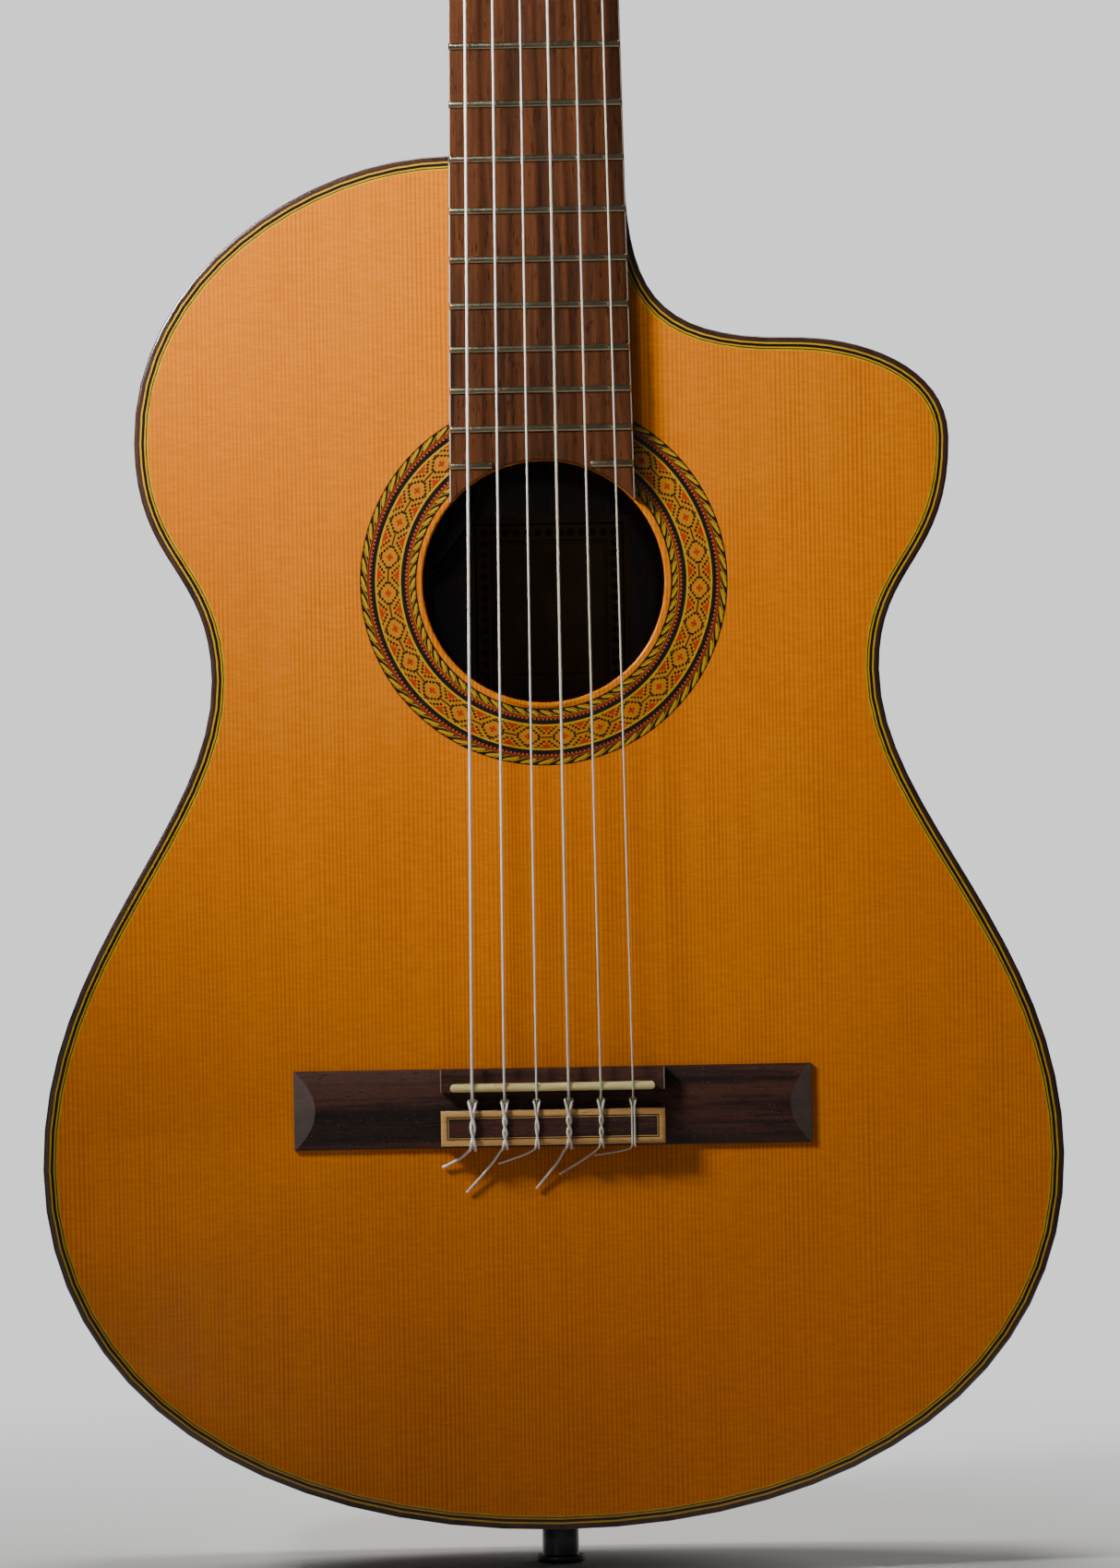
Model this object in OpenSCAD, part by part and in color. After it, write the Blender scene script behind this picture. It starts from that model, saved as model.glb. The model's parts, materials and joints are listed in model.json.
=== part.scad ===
// Cutaway electro-classical guitar, held upright: the neck points up (+Z),
// the treble side and its cutaway point to +X, and the soundboard faces -Y.
// The origin is the centre of the output jack's bore at the tail of the body.
// Millimetres.

/* [Body outline] */
// Length of the body from the tail to the neck joint
body_length = 486; // [460:1:500]
// Width across the lower bout
lower_bout = 361; // [330:1:380]
// Height of the widest part of the lower bout above the tail
lower_z = 130; // [115:1:145]
// Width across the waist
waist = 236; // [215:1:255]
// Height of the waist above the tail
waist_z = 302; // [290:1:315]
// Width across the upper bout
upper_bout = 288; // [265:1:305]
// Height of the widest part of the bass shoulder above the tail
upper_z = 386; // [370:1:395]
// Height of the widest part of the cutaway's horn above the tail
horn_z = 384; // [370:1:390]
// Height of the shelf of the cutaway above the tail
shelf_z = 420; // [410:1:430]
// Distance of the shelf's middle from the centre line
shelf_x = 88; // [75:1:95]
// Depth of the body at the tail
depth_tail = 98; // [85:1:105]
// Depth of the body at the neck joint
depth_neck = 94; // [80:1:100]

/* [Plates and sides] */
// Thickness of the soundboard
top_t = 2.5; // [2:0.1:3.5]
// Thickness of the back plate
back_t = 2.6; // [2:0.1:3.5]
// Thickness of the bent sides
side_t = 2; // [1.6:0.1:2.6]
// Height of the binding strip along the soundboard
binding_top_h = 5; // [4:0.5:7]
// Height of the binding strip along the back
binding_back_h = 4; // [3:0.5:6]
// Width of the purfling lines inside the binding
purfling_w = 3; // [2:0.5:5]
// Depth of the purfling lines in the soundboard
purfling_h = 1.5; // [1:0.1:1.8]
// Width of the lining strips
lining_w = 6; // [4:0.5:8]
// Height of the lining strips
lining_h = 15; // [10:1:20]

/* [Sound hole] */
// Height of the sound hole's centre above the tail
hole_z = 335; // [330:1:342]
// Radius of the sound hole
hole_r = 42.7; // [40:0.1:45]
// Inner radius of the rosette
rosette_in_r = 45; // [44:0.5:50]
// Outer radius of the rosette
rosette_out_r = 65; // [60:0.5:70]
// Depth of the rosette in the soundboard
rosette_t = 1.2; // [0.8:0.1:1.6]

/* [Neck and fingerboard] */
// Scale length
scale_length = 650; // [630:1:660]
// Extra string length at the saddle
compensation = 2; // [0:0.5:3]
// Height of the nut's front face above the tail
nut_z = 809; // [790:1:815]
// Width of the fingerboard at the nut
board_nut_w = 52.5; // [48:0.5:56]
// Width of the fingerboard at the sound hole
board_end_w = 65; // [60:0.5:68]
// Thickness of the fingerboard
board_t = 6; // [5:0.1:8]
// Depth of the neck under the fingerboard
neck_depth = 17; // [14:0.5:20]
// Length of the nut along the strings
nut_l = 5.5; // [4:0.5:7]
// Height of the nut above the neck
nut_h = 9; // [8.5:0.1:11]
// Number of frets
fret_count = 19; // [18:1:19]
// Height of a fret above the fingerboard
fret_h = 1; // [0.8:0.1:1.4]
// Width of a fret
fret_w = 2.6; // [2:0.1:3]
// Reach of the heel's curve up the neck
heel_l = 62; // [50:1:80]
// Length of the heel at its cap
heel_foot = 17; // [12:1:24]
// Half-width of the heel at its cap
heel_half_w = 13; // [10:0.5:16]
// Thickness of the heel cap
heel_cap_t = 2.5; // [2:0.1:4]

/* [Headstock] */
// Angle of the headstock to the neck, in degrees
head_angle = 15; // [10:1:18]
// Length of the headstock
head_l = 185; // [175:1:195]
// Half-width of the headstock at the tuners
head_half_w = 36; // [35:0.5:38]
// Thickness of the headstock without its veneer
head_t = 17.5; // [16:0.5:20]
// Thickness of the head veneer
veneer_t = 2.5; // [1.5:0.1:3]
// Distance of a slot's inner wall from the centre line
slot_in_x = 8; // [7:0.5:9]
// Width of a slot
slot_w = 15; // [14:0.5:16]
// Start of the slots above the nut
slot_z0 = 34; // [32:1:36]
// Distance of the first rollers from the nut
roller_z0 = 48; // [47:1:50]
// Distance between the rollers
roller_pitch = 35; // [34:0.5:36]

/* [Tuners] */
// Radius of a roller
roller_r = 5; // [4:0.1:5.5]
// Radius of a roller's steel end
axle_r = 2.5; // [2:0.1:3]
// Number of teeth of a gear
gear_teeth = 14; // [14:1:16]
// Distance between the teeth along the worm
tooth_pitch = 2.5; // [2.3:0.05:2.6]
// Face width of a gear
gear_w = 2.6; // [2:0.1:3]
// Mean radius of the worm's thread
worm_r = 2.9; // [2.6:0.1:3.2]
// Thickness of the tuner plates
plate_t = 1.2; // [1:0.1:1.6]
// Width of the tuner plates
plate_w = 16; // [15:0.5:17]
// Radius of the worm shaft
shaft_r = 1.5; // [1.2:0.1:1.8]
// Length of a button
button_l = 17; // [14:0.5:20]
// Width of a button
button_w = 15; // [12:0.5:17]
// Thickness of a button
button_t = 9; // [7:0.5:11]

/* [Bridge] */
// Width of the whole bridge
bridge_w = 183; // [170:1:195]
// Width of the bridge's raised middle
block_w = 79; // [76:0.5:86]
// Height of the bridge's wings
wing_h = 4; // [3:0.5:5]
// Height of the strip in front of the saddle
strip_h = 8.5; // [7:0.1:9]
// Width of the strip in front of the saddle
strip_w = 5; // [4:0.5:7]
// Width of the trough behind the saddle
trough_w = 6.6; // [5:0.1:8]
// Height of the trough's floor
trough_h = 3.4; // [3:0.1:4]
// Height of the tie block
tie_h = 9; // [8:0.5:10]
// Width of the tie block
tie_w = 12.4; // [11:0.1:14]
// Width of the lip behind the tie block
lip_w = 1; // [0.5:0.1:2]
// Length of the saddle
saddle_l = 72; // [68:1:74]
// Thickness of the saddle
saddle_t = 2.9; // [2.5:0.1:3.2]
// Height of the strings' centres above the soundboard at the saddle
saddle_string_h = 12; // [11:0.1:13]
// Height of the string holes above the soundboard
tie_hole_h = 5; // [4.8:0.1:5.4]
// Width of the light frame on the tie block
trim_w = 2.2; // [1.5:0.1:3]

/* [Strings] */
// Diameters, from the lowest string to the highest
string_d = [1.09, 0.89, 0.74, 1.02, 0.82, 0.71];
// Distance between the outer strings at the nut
nut_spread = 42.5; // [40:0.5:46]
// Distance between the outer strings at the saddle
saddle_spread = 56.5; // [54:0.5:60]
// Turns of string on a roller
string_turns = 2.6; // [2:0.1:3]

/* [Pickup and controls] */
// Width of the control panel across the side
panel_w = 44; // [40:1:50]
// Height of the control panel above the side
panel_h = 1.4; // [1.4:0.1:2]
// Radius of a control knob
knob_r = 5.5; // [4:0.1:6]
// Radius of the jack's bore
jack_bore_r = 3.2; // [3.2:0.05:3.4]
// Radius of the jack's barrel
jack_r = 6; // [5.5:0.1:7]
// Length of the strap button on the jack
strap_l = 12; // [9:0.5:15]
// Diameter of the leads inside the body
lead_d = 3; // [2:0.1:4]

/* [Inner frame] */
// Height of the soundboard's cross bars
bar_h = 14; // [10:1:18]
// Width of the cross bars
bar_w = 8; // [6:0.5:10]
// Number of fan struts under the soundboard
fan_count = 7; // [5:2:7]
// Height of the fan struts
fan_h = 5; // [4:0.5:7]
// Width of the fan struts
fan_w = 6; // [4:0.5:7]
// Thickness of the tail block
tail_block_t = 15; // [12:1:20]
// Thickness of the foot of the neck inside the body
foot_t = 36; // [30:1:45]

/* [Clearances] */
// Radial clearance of shafts in their bores
fit = 0.06; // [0.03:0.01:0.1]
// Gap around loose and sliding pieces
gap = 0.3; // [0.2:0.05:0.5]
// Gap between a string and what it passes or winds round
string_gap = 0.12; // [0.05:0.01:0.3]

/* [Hidden] */

$fn = 48;
eps = 0.01;
big = 1200;
front_y = -depth_tail / 2;
seat_x = (board_nut_w + (board_end_w - board_nut_w) * (nut_z - body_length) / (nut_z - hole_z - hole_r)) / 2;
core_x = 10;
board_y = front_y - board_t;

// ---- Outline of the body: nine curves from the bass corner of the neck joint round the tail ----

function bez(c, t) = pow(1 - t, 3) * c[0] + 3 * pow(1 - t, 2) * t * c[1]
    + 3 * (1 - t) * t * t * c[2] + pow(t, 3) * c[3];
function bez_way(c, t) = pow(1 - t, 2) * (c[1] - c[0]) + 2 * (1 - t) * t * (c[2] - c[1])
    + t * t * (c[3] - c[2]);
function outward(v) = [v[1], -v[0]] / norm(v);

joint_l = [-seat_x, body_length];
joint_r = [seat_x, body_length];
shoulder = [-upper_bout / 2, upper_z];
waist_l = [-waist / 2, waist_z];
lower_l = [-lower_bout / 2, lower_z];
tail = [0, 0];
lower_r = [lower_bout / 2, lower_z];
waist_r = [waist / 2, waist_z];
horn = [upper_bout / 2, horn_z];
shelf = [shelf_x, shelf_z];
up = [0, 1];
right = [1, 0];
curves = [
    [joint_l, joint_l - right * 0.455 * (upper_bout / 2 - seat_x),
        shoulder + up * 0.6 * (body_length - upper_z), shoulder],
    [shoulder, shoulder - up * 0.52 * (upper_z - waist_z), waist_l + up * 0.475 * (upper_z - waist_z), waist_l],
    [waist_l, waist_l - up * 0.298 * (waist_z - lower_z), lower_l + up * 0.448 * (waist_z - lower_z), lower_l],
    [lower_l, lower_l - up * 0.605 * lower_z, tail - right * 0.299 * lower_bout, tail],
    [tail, tail + right * 0.299 * lower_bout, lower_r - up * 0.605 * lower_z, lower_r],
    [lower_r, lower_r + up * 0.448 * (waist_z - lower_z), waist_r - up * 0.298 * (waist_z - lower_z), waist_r],
    [waist_r, waist_r + up * 0.46 * (horn_z - waist_z), horn - up * 0.54 * (horn_z - waist_z), horn],
    [horn, horn + up * 0.7 * (shelf_z - horn_z), shelf + right * 0.45 * (upper_bout / 2 - shelf_x), shelf],
    [shelf, shelf - right * 0.855 * (shelf_x - seat_x), joint_r - up * 0.727 * (body_length - shelf_z), joint_r]];
steps = 16;
outline_at = [for (c = curves, i = [0 : steps - 1]) [bez(c, i / steps), outward(bez_way(c, i / steps))]];

// Points of the outline moved inwards by d.
function outline(d) = concat([for (p = outline_at) p[0] - d * p[1]], [joint_r - [d, d]]);

// A piece of one curve of the outline between d_out and d_in, from step s0 to step s1.
function stops(s0, s1) = concat([s0], [for (s = [floor(s0) + 1 : ceil(s1) - 1]) s], [s1]) / steps;
function moved(c, t, d) = bez(c, t) - d * outward(bez_way(c, t));
function strip(c, s0, s1, d_out, d_in) = let(ts = stops(s0, s1), n = len(ts)) concat(
    [for (t = ts) moved(c, t, d_out)],
    [for (i = [n - 1 : -1 : 0]) moved(c, ts[i], d_in)]);

// Extrudes an X-Z drawing from y0 to y1.
module plan(y0, y1) {
    translate([0, y1, 0]) rotate([90, 0, 0]) linear_extrude(y1 - y0) children();
}

// Extrudes a Y-Z drawing over the width from -w to w.
module profile(w) {
    translate([-w, 0, 0]) rotate([90, 0, 90]) linear_extrude(2 * w) children();
}

module ring(d_out, d_in) {
    difference() {
        polygon(outline(d_out));
        polygon(outline(d_in));
    }
}

// Depth of the body at height z, and the layer between a and b inside the back's outer face.
function back_y(z) = front_y + depth_tail + (depth_neck - depth_tail) * z / body_length;
z_low = -60;
z_high = 560;
module back_layer(a, b) {
    profile(big / 2) polygon([[back_y(z_low) - b, z_low], [back_y(z_low) - a, z_low],
        [back_y(z_high) - a, z_high], [back_y(z_high) - b, z_high]]);
}
module inside_body(d) {
    intersection() {
        plan(front_y + top_t, front_y + depth_tail) polygon(outline(d));
        back_layer(back_t, depth_tail);
    }
}
module core(dz = 0) {
    translate([-core_x, front_y - 1, body_length - side_t - dz]) cube([2 * core_x, depth_tail + 2, 50]);
}

// ---- Body ----

module soundboard() {
    color("orange") difference() {
        plan(front_y, front_y + top_t) polygon(outline(side_t));
        plan(front_y - 1, front_y + top_t + 1) translate([0, hole_z]) circle(hole_r);
        plan(front_y - 1, front_y + rosette_t) translate([0, hole_z]) difference() {
            circle(rosette_out_r);
            circle(rosette_in_r);
        }
        plan(front_y - 1, front_y + purfling_h) ring(side_t - 1, side_t + purfling_w);
        lead_hole();
    }
}
module lead_hole() {
    translate([lead_x, front_y + 10, saddle_z]) rotate([90, 0, 0]) cylinder(r = lead_d / 2 + gap, h = 10 + slot_h);
}

module rosette() {
    color("goldenrod") plan(front_y, front_y + rosette_t) translate([0, hole_z]) difference() {
        circle(rosette_out_r);
        circle(rosette_in_r);
    }
}

module top_purfling() {
    color("yellow") plan(front_y, front_y + purfling_h) ring(side_t, side_t + purfling_w);
}

module bindings() {
    color("saddlebrown") difference() {
        union() {
            plan(front_y, front_y + binding_top_h) ring(0, side_t);
            intersection() {
                plan(front_y, front_y + depth_tail) ring(0, side_t);
                back_layer(0, binding_back_h);
            }
        }
        core();
    }
}

module side_shell() {
    intersection() {
        plan(front_y + binding_top_h, front_y + depth_tail) ring(0, side_t);
        back_layer(binding_back_h, depth_tail);
    }
}
module side_bass() {
    color("sienna") difference() {
        side_shell();
        translate([0, -big / 2, -big / 2]) cube(big);
        core();
        jack_hole();
        plan(-window_half, window_half) polygon(strip(panel_curve, window_s0, window_s1, -1, side_t + 1));
    }
}
module side_treble() {
    color("sienna") difference() {
        side_shell();
        translate([-big, -big / 2, -big / 2]) cube(big);
        core();
        jack_hole();
    }
}
module jack_hole() {
    translate([0, 0, -5]) cylinder(r = jack_r + fit, h = tail_block_t + side_t + 10);
}

module back_plate() {
    color("sienna") intersection() {
        plan(front_y, front_y + depth_tail) polygon(outline(side_t));
        back_layer(0, back_t);
    }
}

module linings() {
    color("tan") difference() {
        union() {
            plan(front_y + top_t, front_y + top_t + lining_h) ring(side_t, side_t + lining_w);
            intersection() {
                plan(front_y, front_y + depth_tail) ring(side_t, side_t + lining_w);
                back_layer(back_t, back_t + lining_h);
            }
        }
        foot_box();
        tail_box();
    }
}

foot_x = 34;
module foot_box() {
    translate([-foot_x, front_y + top_t, body_length - side_t - foot_t])
        cube([2 * foot_x, depth_tail, foot_t + side_t + 5]);
}
tail_x = 30;
module tail_box() {
    translate([-tail_x, front_y + top_t, -5]) cube([2 * tail_x, depth_tail, side_t + tail_block_t + 5]);
}
module tail_block() {
    color("peru") difference() {
        intersection() {
            inside_body(side_t);
            tail_box();
        }
        jack_hole();
    }
}

// Cross bars and fan struts under the soundboard, and cross bars on the back.
top_bars = [hole_z - 62, hole_z + 62];
back_bars = [95, 195, 258, 386];
fan_top_z = hole_z - 62 - bar_w / 2 - 1;
fan_low_z = 38;
module braces() {
    color("burlywood") {
        for (z = top_bars) intersection() {
            inside_body(side_t + lining_w);
            translate([-big / 2, front_y, z - bar_w / 2]) cube([big, top_t + bar_h, bar_w]);
        }
        for (z = back_bars) intersection() {
            inside_body(side_t + lining_w);
            back_layer(back_t, back_t + bar_h);
            translate([-big / 2, 0, z - bar_w / 2]) cube([big, big, bar_w]);
        }
        for (i = [0 : fan_count - 1]) let(k = i - (fan_count - 1) / 2) intersection() {
            inside_body(side_t + lining_w);
            difference() {
                translate([k * 20, 0, fan_top_z]) rotate([0, -k * 4.5, 0])
                    translate([-fan_w / 2, front_y, -(fan_top_z - fan_low_z)])
                        cube([fan_w, top_t + fan_h, fan_top_z - fan_low_z - abs(k) * 3]);
                lead_keep_out();
            }
        }
    }
}
module lead_keep_out() {
    translate([lead_x, front_y, saddle_z]) rotate([90, 0, 0]) cylinder(r = lead_d + 1, h = 60, center = true);
}

label_w = 60;
label_l = 84;
label_z = 278;
label_t = 0.3;
module label() {
    color("wheat") intersection() {
        translate([-label_w / 2 + 2, 0, label_z]) cube([label_w, big, label_l]);
        back_layer(back_t, back_t + label_t);
    }
}

// ---- Bridge and saddle ----

saddle_z = nut_z - scale_length - compensation;
saddle_back = saddle_z - saddle_t / 2;
tie_front = saddle_back - trough_w;
tie_back = tie_front - tie_w;
bridge_z0 = tie_back - lip_w;
bridge_z1 = saddle_z + saddle_t / 2 + strip_w;
slot_h = 2;
string_saddle_y = front_y - saddle_string_h;
trim_t = 0.8;
bevel = 7;

module bar(h, z0, z1, w) {
    translate([-w / 2, front_y - h, z0]) cube([w, h, z1 - z0]);
}
module bridge() {
    color("#3a2219") difference() {
        union() {
            intersection() {
                bar(wing_h, bridge_z0, bridge_z1, bridge_w);
                wing_shape();
            }
            bar(tie_h, tie_back, tie_front, block_w);
            bar(strip_h, saddle_z - saddle_t / 2, bridge_z1, block_w);
        }
        trough();
        saddle_slot();
        lead_hole();
        for (i = [0 : 5]) translate([string_x(i, saddle_spread), front_y - tie_hole_h, 0])
            cylinder(r = string_d[i] / 2 + 0.3, h = tie_front + 1);
        trim_ring();
    }
}
// The low floor between the saddle and the tie block.
module trough() {
    translate([-block_w / 2 - 1, front_y - tie_h - 1, tie_front]) cube([block_w + 2, tie_h + 1 - trough_h, trough_w]);
}
module wing_shape() {
    profile(bridge_w / 2) polygon([[front_y + 1, bridge_z0], [front_y + 1, bridge_z1], [front_y - 1.5, bridge_z1],
        [front_y - wing_h, bridge_z1 - bevel], [front_y - wing_h, bridge_z0 + bevel], [front_y - 1.5, bridge_z0]]);
}
module saddle_slot() {
    translate([0, front_y - slot_h, saddle_z]) rotate([90, 0, 0]) linear_extrude(20) saddle_plan();
}
module trim_ring() {
    difference() {
        bar(tie_h, tie_back, tie_front, block_w);
        bar(tie_h - trim_t, tie_back - 1, tie_front + 1, block_w + 2);
        bar(tie_h + 1, tie_back + trim_w, tie_front - trim_w, block_w - 2 * trim_w);
    }
}
module tie_block_trim() {
    color("khaki") trim_ring();
}

pickup_t = 1.2;
module saddle() {
    color("ivory") difference() {
        translate([0, 0, saddle_z]) intersection() {
            translate([0, front_y - slot_h - pickup_t, 0]) rotate([90, 0, 0]) linear_extrude(saddle_string_h
                - slot_h - pickup_t) saddle_plan();
            rotate([90, 0, 90]) translate([0, 0, -saddle_l / 2]) linear_extrude(saddle_l) saddle_section();
        }
        for (i = [0 : 5]) translate([string_x(i, saddle_spread), string_saddle_y, saddle_z])
            cylinder(r = string_d[i] / 2 + string_gap, h = 10, center = true);
    }
}
module saddle_plan() {
    square([saddle_l - saddle_t, saddle_t], center = true);
    for (s = [-1, 1]) translate([s * (saddle_l - saddle_t) / 2, 0]) circle(saddle_t / 2);
}
module saddle_section() {
    crown = saddle_t / 2;
    top_y = string_saddle_y + 0.25;
    translate([top_y + crown, 0]) circle(crown);
    translate([top_y + crown, -crown]) square([saddle_string_h, saddle_t]);
}
module pickup() {
    color("silver") translate([0, front_y - slot_h, saddle_z]) rotate([90, 0, 0])
        linear_extrude(pickup_t) square([saddle_l - saddle_t - 1, 2.2], center = true);
}

// ---- Neck ----

board_end_z = hole_z + hole_r + 0.4;
function board_half(z) = (board_nut_w + (board_end_w - board_nut_w) * (nut_z - z) / (nut_z - board_end_z)) / 2;
neck_end = nut_z + nut_l;

module board_plan(z0, z1) {
    polygon([[-board_half(z0), z0], [board_half(z0), z0], [board_half(z1), z1], [-board_half(z1), z1]]);
}
module neck_section(half_w) {
    polygon([for (a = [0 : 7.5 : 180]) [half_w * cos(a), front_y + neck_depth * pow(sin(a), 0.75)]]);
}
heel_end_y = back_y(body_length);
module heel_side() {
    curve = [[heel_end_y, body_length + heel_foot], [heel_end_y - 30, body_length + heel_foot + 2],
        [front_y + neck_depth + 2, body_length + heel_foot + 10], [front_y + neck_depth - 2, body_length + heel_l]];
    polygon(concat([[front_y, body_length], [heel_end_y, body_length]],
        [for (i = [0 : 10]) bez(curve, i / 10)], [[front_y, body_length + heel_l]]));
}
module heel_section() {
    w = board_half(body_length + heel_l);
    curve = [[w, front_y + 4], [w, front_y + 34], [heel_half_w, heel_end_y - 45], [heel_half_w, heel_end_y + 1]];
    half = [for (i = [0 : 10]) bez(curve, i / 10)];
    polygon(concat([[w, front_y]], half, [for (i = [10 : -1 : 0]) [-half[i][0], half[i][1]]], [[-w, front_y]]));
}
module neck() {
    color("peru") difference() {
        union() {
            intersection() {
                plan(front_y, front_y + neck_depth + 1) board_plan(body_length, neck_end);
                linear_extrude(neck_end) neck_section(board_half(body_length));
            }
            intersection() {
                back_layer(heel_cap_t, depth_tail);
                profile(60) heel_side();
                linear_extrude(body_length + heel_l + 1) heel_section();
                plan(front_y, front_y + depth_tail) board_plan(body_length - 1, body_length + heel_l);
            }
            neck_core();
            neck_foot();
            head_frame() head_body();
        }
        head_frame() head_cuts();
    }
}
// The tongue that joins the heel to the foot between the ends of the two sides.
module neck_core() {
    intersection() {
        translate([-core_x, front_y, body_length - side_t]) cube([2 * core_x, depth_tail, side_t]);
        back_layer(0, depth_tail);
    }
}
module neck_foot() {
    intersection() {
        inside_body(side_t);
        foot_box();
    }
}
module heel_cap() {
    color("#3a2219") intersection() {
        translate([-heel_half_w, 0, body_length]) cube([2 * heel_half_w, big, heel_foot]);
        back_layer(0, heel_cap_t);
    }
}

module fingerboard() {
    color("#4a2f24") difference() {
        plan(board_y, front_y) difference() {
            board_plan(hole_z + 20, nut_z);
            translate([0, hole_z]) circle(hole_r + 0.4);
        }
        for (n = [1 : fret_count]) translate([-50, board_y - 1, fret_z(n) - tang_t / 2 - 0.02])
            cube([100, tang_h + 1, tang_t + 0.04]);
    }
}
tang_t = 0.6;
tang_h = 1.8;
function fret_z(n) = nut_z - scale_length * (1 - pow(2, -n / 12));
module frets() {
    color("silver") intersection() {
        for (n = [1 : fret_count]) translate([0, 0, fret_z(n)]) {
            fret_crown_r = (fret_h * fret_h + fret_w * fret_w / 4) / (2 * fret_h);
            intersection() {
                translate([-50, board_y - fret_h + fret_crown_r, 0]) rotate([0, 90, 0])
                    cylinder(r = fret_crown_r, h = 100);
                translate([-50, board_y - fret_h - 1, -fret_w]) cube([100, fret_h + 1, 2 * fret_w]);
            }
            translate([-50, board_y - fret_h / 2, -tang_t / 2]) cube([100, tang_h + fret_h / 2 - 0.05, tang_t]);
        }
        plan(board_y - 5, front_y) difference() {
            board_plan(hole_z + 20, nut_z);
            translate([0, hole_z]) circle(hole_r + 0.4);
        }
    }
}

string_nut_y = board_y - 1.8;
slot_lean = 14;
slot_open = 0.94;
slot_ease = 0.3;
module nut() {
    color("ivory") difference() {
        intersection() {
            plan(front_y - nut_h, front_y) board_plan(nut_z, neck_end);
            profile(40) polygon([[front_y, nut_z], [front_y, neck_end], [front_y - nut_h + 2, neck_end],
                [front_y - nut_h, nut_z + 2], [front_y - nut_h, nut_z]]);
        }
        for (i = [0 : 5]) nut_slot(i);
    }
}
// How far a string has moved sideways, on its way to its roller, at the back of the nut.
function nut_shift(i) = nut_l / 2 * (tuner_side(i) * coil_x[i] - string_x(i, nut_spread)) / roller_z(tuner_row(i));
module nut_slot(i) {
    r = string_d[i] / 2 + string_gap;
    translate([string_x(i, nut_spread), string_nut_y, nut_z]) {
        translate([0, 0, -1]) cylinder(r = r, h = nut_l + 2);
        translate([-r * slot_open, -10, -1]) cube([2 * r * slot_open, 10, nut_l + 2]);
        nut_relief(r + string_gap, nut_shift(i));
    }
}
// The back of a slot falls away and widens, so that the string can turn to its roller.
module nut_relief(r, shift) {
    start = nut_l / 2 - slot_ease;
    drop = (nut_l / 2 + slot_ease + 1) * tan(head_angle + slot_lean);
    translate([min(0, shift) - r, 0, 0]) rotate([90, 0, 90]) linear_extrude(height = 2 * r + abs(shift))
        polygon([[-10, start], [r, start], [r + drop, nut_l + 1], [-10, nut_l + 1]]);
}

// ---- Headstock: its own frame starts at the nut, z up the head, y into the wood ----

module head_frame() {
    translate([0, front_y, neck_end]) rotate([-head_angle, 0, 0]) children();
}
slot_z1 = roller_z0 + 2 * roller_pitch + 17;
slot_x = slot_in_x + slot_w / 2;
roller_y = 7.5;
function roller_z(k) = roller_z0 + k * roller_pitch;
head_neck_half = board_nut_w / 2;
// Half of the head's outline, from the nut up to the tip of the crest.
function head_half() = concat(
    [for (i = [0 : 8]) bez([[head_neck_half, 0], [head_neck_half, 12], [head_half_w, 10], [head_half_w, 28]], i / 8)],
    [for (i = [0 : 8]) bez([[head_half_w, head_l - 27], [head_half_w, head_l - 14], [30, head_l - 8],
        [24, head_l - 12]], i / 8)],
    [for (i = [1 : 8]) bez([[24, head_l - 12], [18, head_l - 16], [16, head_l], [0, head_l]], i / 8)]);
module head_plan() {
    half = head_half();
    polygon(concat(half, [for (i = [len(half) - 2 : -1 : 0]) [-half[i][0], half[i][1]]]));
}
module head_body() {
    plan(0, head_t) head_plan();
}
module slot_plan() {
    for (s = [-1, 1]) {
        translate([s * slot_x - slot_w / 2, slot_z0 + slot_w / 2])
            square([slot_w, slot_z1 - slot_z0 - slot_w]);
        for (z = [slot_z0 + slot_w / 2, slot_z1 - slot_w / 2]) translate([s * slot_x, z]) circle(slot_w / 2);
    }
}
// A sloped cut that lets the strings down into each slot.
ramp_w = slot_w - 1.4;
ramp_z = 14;
ramp_angle = 16;
module slot_ramps() {
    for (s = [-1, 1]) translate([s * slot_x - ramp_w / 2, -veneer_t, ramp_z])
        rotate([-ramp_angle, 0, 0]) translate([0, -20, 0]) cube([ramp_w, 20, slot_z0]);
}
module head_cuts() {
    plan(-veneer_t - 20, head_t + 1) slot_plan();
    slot_ramps();
    for (k = [0 : 2]) translate([0, roller_y, roller_z(k)]) rotate([0, 90, 0]) {
        for (s = [-1, 1]) translate([0, 0, s > 0 ? slot_x : -slot_x - 30]) cylinder(r = roller_r + fit, h = 30);
        for (s = [-1, 1]) translate([0, 0, s > 0 ? slot_in_x - 4 : -slot_in_x - 1]) cylinder(r = axle_r + fit, h = 5);
    }
    for (s = [-1, 1]) screw_places(s) cylinder(r = screw_r, h = screw_l + 1);
}
module head_veneer() {
    color("#3a2219") head_frame() difference() {
        plan(-veneer_t, 0) head_plan();
        plan(-veneer_t - 1, 1) slot_plan();
        slot_ramps();
    }
}

// ---- Tuners: number 1 is the lowest string's, 1 to 3 on the bass side, 4 to 6 on the treble side ----

function tuner_side(i) = i < 3 ? -1 : 1;
function tuner_row(i) = i < 3 ? i : 5 - i;
gear_r = gear_teeth * tooth_pitch / (2 * PI);
tooth_out = 0.55;
tooth_in = 0.75;
worm_off = gear_r + worm_r;
root_r = worm_r - 0.7;
crest_r = worm_r + 0.5;
gear_x = head_half_w + plate_t + gap + crest_r;
lug_y = 4.4;
lug_t = 1.2;
worm_half = lug_y - 0.25;
screw_r = 1.2;
screw_l = 8;
screw_head_r = 2.6;
screw_head_h = 0.9;
plate_z0 = roller_z(0) - 17;
plate_z1 = roller_z(2) + 28;

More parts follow.
